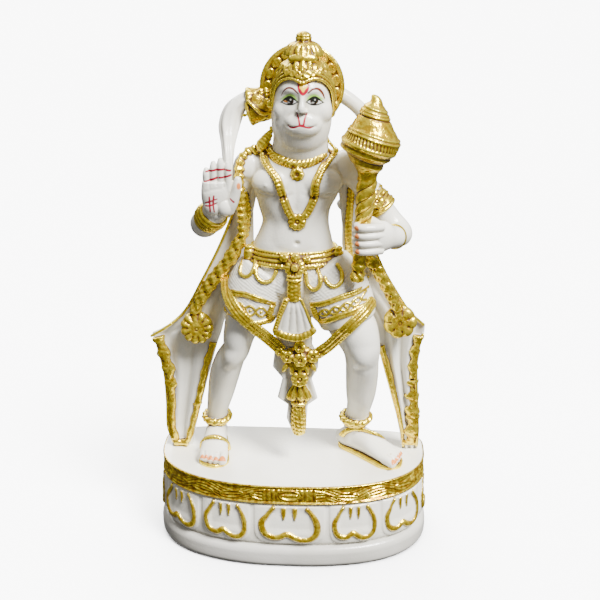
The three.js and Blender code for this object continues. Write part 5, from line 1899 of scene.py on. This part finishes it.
LEFT_CLOAK = Cloak(
    "left_cloak",
    ((236, -20, -8, 4), (228, -33, -12, 3), (214, -35, -22, 3), (190, -40, -27, 3), (167, -49, -27, 4),
     (135, -66, -38, 6), (111, -80, -48, 8), (102, -90, -50.5, 9), (97.5, -97, -51.6, 9.6),
     (94.6, -103.2, -52.5, 10), (92, -102.6, -53.4, 10), (86, -100, -55.5, 10), (63, -96, -62, 10),
     (38, -95.4, -68.4, 11), (18, -95.8, -73.5, 12), (5, -93, -76.4, 13), (-1.5, -92.4, -77, 13)),
    ((((-17.6, 236), (-31, 229), (-34.2, 220), (-33, 201), (-31.4, 190), (-32.7, 177)), 2.6,
      Weave.KNOTS, 0.9),
     (((-36, 205), (-40, 192), (-50.4, 166), (-64, 139), (-79, 112), (-91, 102.6),
       (-102, 95.6)), 1.1, Weave.PLAIN, 1.0),
     (((-99.6, 86), (-95.2, 64), (-94.4, 37.8), (-94.8, 17), (-91.6, 3)), 1.0, Weave.PLAIN, 1.0)),
    ((-32.7, -5, 177, 3.0), (-37, -5.4, 169, 4.2), (-41.4, -5.4, 160.4, 4.6), (-48, -4.6, 151, 4.4),
     (-54.1, -3.6, 142.7, 4.6), (-60, -2.6, 134, 4.4), (-65.3, -1.8, 125.5, 4.2), (-69.6, -1.2, 116, 3.8)),
    (-68.2, -2.6, 103.9), 11,
    ((((-98.4, 92), (-96.6, 86), (-94.6, 78), (-92.4, 69), (-91, 58), (-91, 48)), 7.6, 0.5),
     (((-91, 50), (-90.6, 38), (-91.4, 20), (-89, 6)), 6.2, 0.12),
     (((-58, 88), (-63.6, 71), (-69.6, 45), (-76, 19), (-80, 5)), 4.8, 0.16),
     (((-90, 4), (-85.4, 3.6), (-80, 3.4)), 6.4, 0.3),
     (((-71.8, 39), (-71.2, 37)), 6.4, 0.2)), 2.5, 0.45)
RIGHT_CLOAK = Cloak(
    "right_cloak",
    ((234, 17, 30, 4), (228, 20, 43, 3), (214, 30, 45, 3), (180, 34, 51, 3), (167, 34, 56, 4),
     (150, 38, 63.4, 5), (135, 42, 72, 6), (120, 52.4, 81, 7), (111, 57, 87, 8), (107.6, 58, 92.4, 8.6),
     (105.2, 58.6, 94.8, 9), (98, 60, 94.5, 10), (87, 62.4, 92.2, 11), (72, 66, 91, 12),
     (38, 75, 93.3, 14.5), (12, 80.6, 94.8, 16.4), (-1.5, 82, 94.3, 17)),
    ((((40.4, 217), (39.3, 198.6), (38.4, 177.3), (40.1, 153)), 2.3, Weave.BEADS, 0.9),
     (((51, 184), (55.4, 168), (63.4, 149), (72.4, 133), (83, 116.4), (93.6, 106)), 1.1,
      Weave.PLAIN, 1.0),
     (((62, 90), (67.4, 70), (75.4, 40), (81.8, 15.6), (83.4, 2)), 1.3, Weave.PLAIN, 1.0),
     (((93.6, 98), (90.8, 86), (89.8, 70), (91.6, 43), (93.6, 18), (93.4, 3)), 1.0,
      Weave.PLAIN, 0.9)),
    ((47.3, -12, 162.6, 3.0), (51, -11.4, 161.6, 4.0), (54.9, -10.4, 158.6, 4.2), (59, -9.2, 152.6, 4.2),
     (62.8, -8, 145.9, 4.3), (66.8, -6.6, 138, 4.2), (70.3, -5.4, 130.4, 4.0), (74, -3.8, 122, 3.6)),
    (76, -4, 112.2), 7,
    ((((90.6, 97), (88.4, 86), (87.2, 74), (87.4, 62)), 6.4, 0.5),
     (((87.4, 60), (88, 50), (88.6, 40), (89, 30)), 8.0, 0.6),
     (((89.4, 30), (89.4, 20), (88.6, 12), (87.8, 5)), 8.6, 0.55),
     (((64.4, 88), (70, 68), (77.4, 40), (82.6, 14)), 3.4, 0.12)), 3.0, 0.65)


@dataclass
class Plinth:
    """The plinth: a rounded slab, a row of lotus petals with gold edges and a carved gold band."""

    depth: float = 95
    rim: float = 1.5
    stance: float = 96
    slab_outset: float = 4.5
    slab_height: float = 16.5
    row_height: float = 35.5
    band_height: float = 15
    first_petal: float = 55.0
    others: int = 11
    boss_half: float = 19.5
    outline_steps: int = 4320
    corner_blur: int = 61
    gold_line: tuple = ((-11.6, 48.9), (-16.4, 42.5), (-19.7, 37.8), (-19.5, 32.3), (-17.4, 27.9),
                        (-13, 25.4), (-7.5, 25.2), (-1.6, 27.8), (3.4, 25.2), (9, 23), (15, 23.8),
                        (19.2, 27.8), (20.2, 33.8), (18.4, 41), (13, 48.4))

    def __post_init__(self) -> None:
        """Walks the outline once at even steps."""
        turn = np.linspace(-math.pi / 2, 1.5 * math.pi, self.outline_steps + 1)
        c, s = np.cos(turn), np.sin(turn)
        power = np.where(s < 0, 2 / 2.4, 2 / 4.5)
        half = self.depth / 2 - self.slab_outset
        middle = half / 3
        reach = np.where(s < 0, half + middle, half - middle)
        x = np.sign(c) * np.abs(c) ** power * (self.stance + self.rim)
        y = middle + np.sign(s) * np.abs(s) ** power * reach
        line = np.stack([x, y], 1)
        self.runs = run_along(line)
        self.line = line
        ahead = np.gradient(line, self.runs, axis=0)
        out = np.stack([ahead[:, 1], -ahead[:, 0]], 1)
        kernel = np.ones(self.corner_blur) / self.corner_blur
        padded = [np.pad(out[:-1, k], self.corner_blur // 2, mode="wrap") for k in range(2)]
        out = np.stack([np.convolve(column, kernel, "valid") for column in padded], 1)
        self.out = np.vstack([out, out[:1]]) / np.linalg.norm(np.vstack([out, out[:1]]), axis=1)[:, None]

    @property
    def round(self) -> float:
        """Length of the outline."""
        return float(self.runs[-1])

    def wall(self, run: np.ndarray, outset: np.ndarray, z: np.ndarray) -> Points:
        """Places on the side, by their run from the front's middle, their outset and height."""
        run = run % self.round
        flat = np.stack([np.interp(run, self.runs, self.line[:, k]) for k in range(2)], 1)
        out = np.stack([np.interp(run, self.runs, self.out[:, k]) for k in range(2)], 1)
        return np.column_stack([flat + out * outset[:, None], z - PLINTH_HEIGHT])

    def tier(self, name: str, profile: Sequence[Sequence[float]], across: int, along: int,
             work: Callable[[np.ndarray, np.ndarray], tuple[np.ndarray, np.ndarray]]) -> Piece:
        """One closed tier of the plinth.

        Args:
            name: Name of the piece.
            profile: Rows of outset and height, from below to above.
            across: Faces round it.
            along: Faces up its side.
            work: Carved height and gold against run and height.

        Returns:
            The piece.
        """
        line = spline([(a, b, 0) for a, b in profile], along + 1)
        size = along + 7
        share = np.concatenate([[0, 0.5, 0.9], np.ones(along + 1), [0.9, 0.5, 0, 0]])[:size + 1]
        row = np.clip(np.arange(size + 1) - 3, 0, along)
        kept: list[np.ndarray] = []

        def shape(u: np.ndarray, v: np.ndarray) -> Points:
            """The tier's side, drawn in to close its top and foot."""
            index = np.rint(v * size).astype(int)
            at = row[index]
            run = (u % 1) * self.round
            z = line[at, 1]
            height, gilt = work(run, z)
            side = self.wall(run, line[at, 0] + height, z)
            side[:, :2] *= share[index][:, None]
            kept.append(np.column_stack([side, gilt]))
            return side

        form = roll(shape, across, size)
        obj = set_down(name, bpy.data.meshes.new(name))
        form.to_mesh(obj.data)
        form.free()
        skin = Skin(obj.data)
        tree = KDTree(len(kept[0]))
        for number, place in enumerate(kept[0][:, :3]):
            tree.insert(place, number)
        tree.balance()
        nearest = [tree.find(place)[1] for place in skin.places]
        skin.store("gilt", kept[0][nearest, 3])
        return Piece(obj, skin)

    def from_front(self, run: np.ndarray) -> np.ndarray:
        """Each run as the signed distance from the front's middle, the shorter way round."""
        half = self.round / 2
        return (run + half) % self.round - half

    def petal(self, run: np.ndarray) -> tuple[np.ndarray, np.ndarray]:
        """For each run, the distance from its petal's middle and the petal's half width."""
        away = self.from_front(run)
        side = np.sign(away)
        pitch = (self.round - self.first_petal) / self.others
        beyond = np.abs(away) - self.first_petal / 2
        order = np.floor(beyond / pitch)
        middle = self.first_petal / 2 + (order + 0.5) * pitch
        first = beyond < 0
        local = np.where(first, away, side * (np.abs(away) - middle))
        return local, np.where(first, self.first_petal / 2, pitch / 2)

    def lotus(self, run: np.ndarray, z: np.ndarray) -> tuple[np.ndarray, np.ndarray]:
        """The petal row: outer petals, the second layer between them, gold edges and gold drops."""
        local, half = self.petal(run)
        low = np.clip(34 - z, 0, None) / 17.0
        body = 1 - np.abs(local / half) ** 3.4 - low ** 3.4
        between = half - np.abs(local)
        second = 1 - (between / (half * 0.6)) ** 2.4 - (np.clip(34 - z, 0, None) / 18.5) ** 3
        swell = 1.2 * ease(body, 0, 0.3) + 1.6 * np.sqrt(np.clip(body, 0, 1))
        made = np.maximum(swell, 1.5 * ease(second, -0.05, 0.4))
        line = spline([(*p, 0) for p in self.gold_line], 120)[:, :2]
        scaled = np.stack([local * (self.first_petal / 2 / half) * np.where(half > 24, 1, 0.97), z], 1)
        gap = distance_to(scaled, line)
        taper = 1.9 * (0.62 + 0.38 * ease(-z, -46, -36))
        cordlike = np.sqrt(np.clip(1 - (gap / (taper + 0.35)) ** 2, 0, 1))
        inside = ease(-np.abs(local) / half, -0.66, -0.5) * ease(z, 27, 33) * ease(-z, -51, -44)
        made = made - 1.0 * inside + 1.5 * cordlike
        drops = np.zeros_like(z)
        for middle in (-4.0, 4.0):
            width = 1.7 * ease(z, 37.5, 44.5)
            fall = np.clip(1 - ((scaled[:, 0] - middle) / np.maximum(width, 0.05)) ** 2, 0, 1)
            fall = fall * ease(z, 38.5, 40.5)
            drops = np.maximum(drops, np.sqrt(fall) * ease(-z, -50, -48.6))
        made += 1.4 * drops
        gilt = np.maximum(ease(taper - gap, -0.75, -0.35), ease(drops, 0.05, 0.3))
        fade = ease(z, 17, 20) * ease(-z, -51.6, -49.8)
        return made * fade, gilt * ease(z, 18, 20)

    def band(self, run: np.ndarray, z: np.ndarray) -> tuple[np.ndarray, np.ndarray]:
        """The gold band: rails, a running vine with long leaves, and the fluted boss in front."""
        half = self.round / 2
        away = self.from_front(run)
        mid = self.slab_height + self.row_height + self.band_height / 2
        up = z - mid
        side = np.abs(away) - self.boss_half
        period = (half - self.boss_half) / 5
        phase = 2 * math.pi * side / period
        vine = up - 3.2 * np.cos(phase)
        made = 0.9 * np.exp(-((vine / 0.75) ** 2))
        for gap in (-2.3, 2.3, -4.4, 4.4):
            made = np.maximum(made, 0.65 * np.exp(-(((vine - gap) / 0.6) ** 2)))
        share = (side / period) % 1
        for centre, tilt in ((0.0, 0.12), (0.5, -0.12), (1.0, 0.12)):
            a = (share - centre) * period
            b = up - math.copysign(1.0, 0.5 - (centre % 1)) * -1.6 - tilt * a
            oval = (a / 8.6) ** 2 + (b / 2.7) ** 2
            leaf = 0.9 * np.exp(-(((oval - 1) / 0.3) ** 2)) + 0.7 * np.exp(-((b / 0.5) ** 2)) * (oval < 0.7)
            made = np.where(oval < 1.3, leaf, made)
        boss = ease(self.boss_half - np.abs(away), 0.1, 0.7)
        flute = 0.9 * np.sqrt(np.abs(np.cos(math.pi * (np.abs(away) - 8.4) / 3.4)))
        eye = (away / 7.4) ** 2 + (up / 3.9) ** 2
        heart = 1.1 * np.exp(-(((eye - 1) / 0.35) ** 2)) + 1.0 * np.exp(-((up / 0.8) ** 2)) * (eye < 0.6)
        made = made * (1 - boss) + boss * np.where(eye < 1.4, heart, flute * ease(-np.abs(up), -4.8, -4.0))
        rails = np.exp(-(((np.abs(up) - 6.6) / 0.75) ** 2))
        inner = ease(-np.abs(up), -6.0, -5.2)
        return 1.15 * rails + 1.2 * made * inner, np.full_like(z, 1.0) * ease(-np.abs(up), -7.45, -7.2)

    def plain(self, run: np.ndarray, z: np.ndarray) -> tuple[np.ndarray, np.ndarray]:
        """The slab: a little uneven, and all white."""
        return 0.1 * np.sin(run / 23) + 0.08 * np.sin(run / 9 + z / 5), np.zeros_like(z)

    def build(self) -> list[Piece]:
        """Builds the three tiers."""
        s, r = self.slab_height, self.slab_height + self.row_height
        top = PLINTH_HEIGHT
        slab = [(0.4, 0), (2.4, 0.9), (3.9, 3.0), (4.3, 6), (4.3, 9.5), (4.1, 12.4), (3.0, 14.8),
                (1.2, 16.2), (-0.5, 16.8)]
        row = [(-1, s - 3), (-0.8, s + 1), (-0.2, s + 5), (0, s + 10), (-0.1, s + 18), (-0.7, s + 26),
               (-1.3, s + 32), (-1.5, r), (-1.6, r + 2)]
        band = [(-1.4, r - 0.6), (0.2, r), (0.9, r + 0.9), (0.6, r + 2), (0.5, r + 4), (0.4, r + 8),
                (0.4, top - 2.4), (0.5, top - 1.1), (0.1, top - 0.3), (-0.6, top - 0.05), (-1.4, top)]
        return [self.tier("plinth_slab", slab, 360, 36, self.plain),
                self.tier("plinth_petals", row, 1040, 84, self.lotus),
                self.tier("plinth_band", band, 1240, 60, self.band)]


# Studio


@dataclass
class Studio:
    """A plain pale floor, soft light from the upper right and the camera at the photograph's view."""

    distance: float = 0.7
    camera_height: float = 0.475
    azimuth: float = 3.0
    pitch: float = 21.965
    focal_px: float = 1068.65
    frame_px: float = 600
    shift_px: float = 7.5
    room: float = 0.55
    seen: tuple[float, float] = (0.01, 60)
    floor_half: float = 9

    def camera(self) -> None:
        """Places the camera."""
        lens = bpy.data.cameras.new("camera")
        lens.sensor_width = 36
        lens.lens = lens.sensor_width * self.focal_px / self.frame_px
        lens.shift_x = self.shift_px / self.frame_px
        lens.clip_start, lens.clip_end = self.seen
        obj = set_down("camera", lens)
        turn = math.radians(self.azimuth)
        obj.location = (math.sin(turn) * self.distance, -math.cos(turn) * self.distance, self.camera_height)
        obj.rotation_euler = (math.radians(90 - self.pitch), 0, turn)
        bpy.context.scene.camera = obj

    def sun(self, name: str, place: Sequence[float], spread: float, power: float,
            only: bpy.types.Object | None = None) -> None:
        """A broad even light from a direction, as soft as its spread in degrees.

        Args:
            name: Name of the light.
            place: The direction it comes from.
            spread: How broad it is, in degrees.
            power: Its strength.
            only: The one object it lights, as a studio's backdrop light does; everything if none.
        """
        lamp = bpy.data.lights.new(name, "SUN")
        lamp.angle = math.radians(spread)
        lamp.energy = power
        obj = set_down(name, lamp)
        obj.location = place
        obj.rotation_euler = (-Vector(place)).to_track_quat("-Z", "Y").to_euler()
        if only:
            lit = bpy.data.collections.new(f"{name} lights")
            lit.objects.link(only)
            obj.light_linking.receiver_collection = lit

    def world(self) -> None:
        """A bright room: pale overhead, dimmer towards the horizon."""
        world = bpy.data.worlds.new("room")
        world.use_nodes = True
        graph = Graph(world.node_tree)
        back = world.node_tree.nodes["Background"]
        turn = graph.add("ShaderNodeTexCoord").outputs["Generated"]
        parts = graph.add("ShaderNodeSeparateXYZ")
        graph.feed(parts.inputs[0], turn)
        sky = graph.mix(graph.span(parts.outputs["Z"], -0.1, 0.9), (0.30, 0.30, 0.31), (1.0, 0.99, 0.97))
        graph.feed(back.inputs["Color"], sky)
        back.inputs["Strength"].default_value = self.room
        bpy.context.scene.world = world

    def floor(self) -> bpy.types.Object:
        """A wide pale floor that throws no light up under the figure."""
        plane = bmesh.new()
        bmesh.ops.create_grid(plane, x_segments=2, y_segments=2, size=self.floor_half)
        mesh = bpy.data.meshes.new("floor")
        plane.to_mesh(mesh)
        plane.free()
        obj = set_down("floor", mesh)
        material = bpy.data.materials.new("floor")
        material.use_nodes = True
        shader = material.node_tree.nodes["Principled BSDF"]
        shader.inputs["Base Color"].default_value = (0.8, 0.8, 0.8, 1)
        shader.inputs["Roughness"].default_value = 0.9
        mesh.materials.append(material)
        obj.visible_diffuse = False
        obj.visible_glossy = False
        return obj

    def build(self) -> None:
        """Sets up floor, lights, room and camera."""
        self.camera()
        floor = self.floor()
        self.world()
        self.sun("key", (0.65, -0.6, 1.2), 20, 14.0)
        self.sun("back", (-0.4, 1.0, 0.8), 40, 3.5)
        self.sun("backdrop", (0.0, 0.0, 1.0), 60, 22.0, floor)


STAND_IN_FOR = "statue"


def main() -> None:
    """Builds the studio and every piece, and reports each one."""
    logging.basicConfig(level=logging.INFO, format="%(message)s")
    Studio().build()
    casting = PaintedCasting("painted casting").build()
    made = []
    for maker in (Head(), Crown(), Halo(), Tail(), Body(), RaisedHand(), MaceFist(), Mace(), Hips(),
                  STRAIGHT_LEG, STEPPING_LEG, Sash(), LEFT_CLOAK, RIGHT_CLOAK):
        made.append(maker.build().finish(casting, SLOT))
    # Painted shade: the slab takes a darker, greyer copy of the white enamel, for the shade under the petal
    # row.
    shaded = PaintedCasting("slab casting", Enamel((0.58, 0.56, 0.51), (0.50, 0.48, 0.42))).build()
    banded = PaintedCasting("band casting", gold=GoldPaint(body=(0.34, 0.17, 0.004), hammer=0.5)).build()
    finishes = {"plinth_slab": shaded, "plinth_band": banded}
    made += [tier.finish(finishes.get(tier.obj.name, casting), SLOT) for tier in Plinth().build()]
    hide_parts(STAND_IN_FOR)


if __name__ == "__main__":
    main()
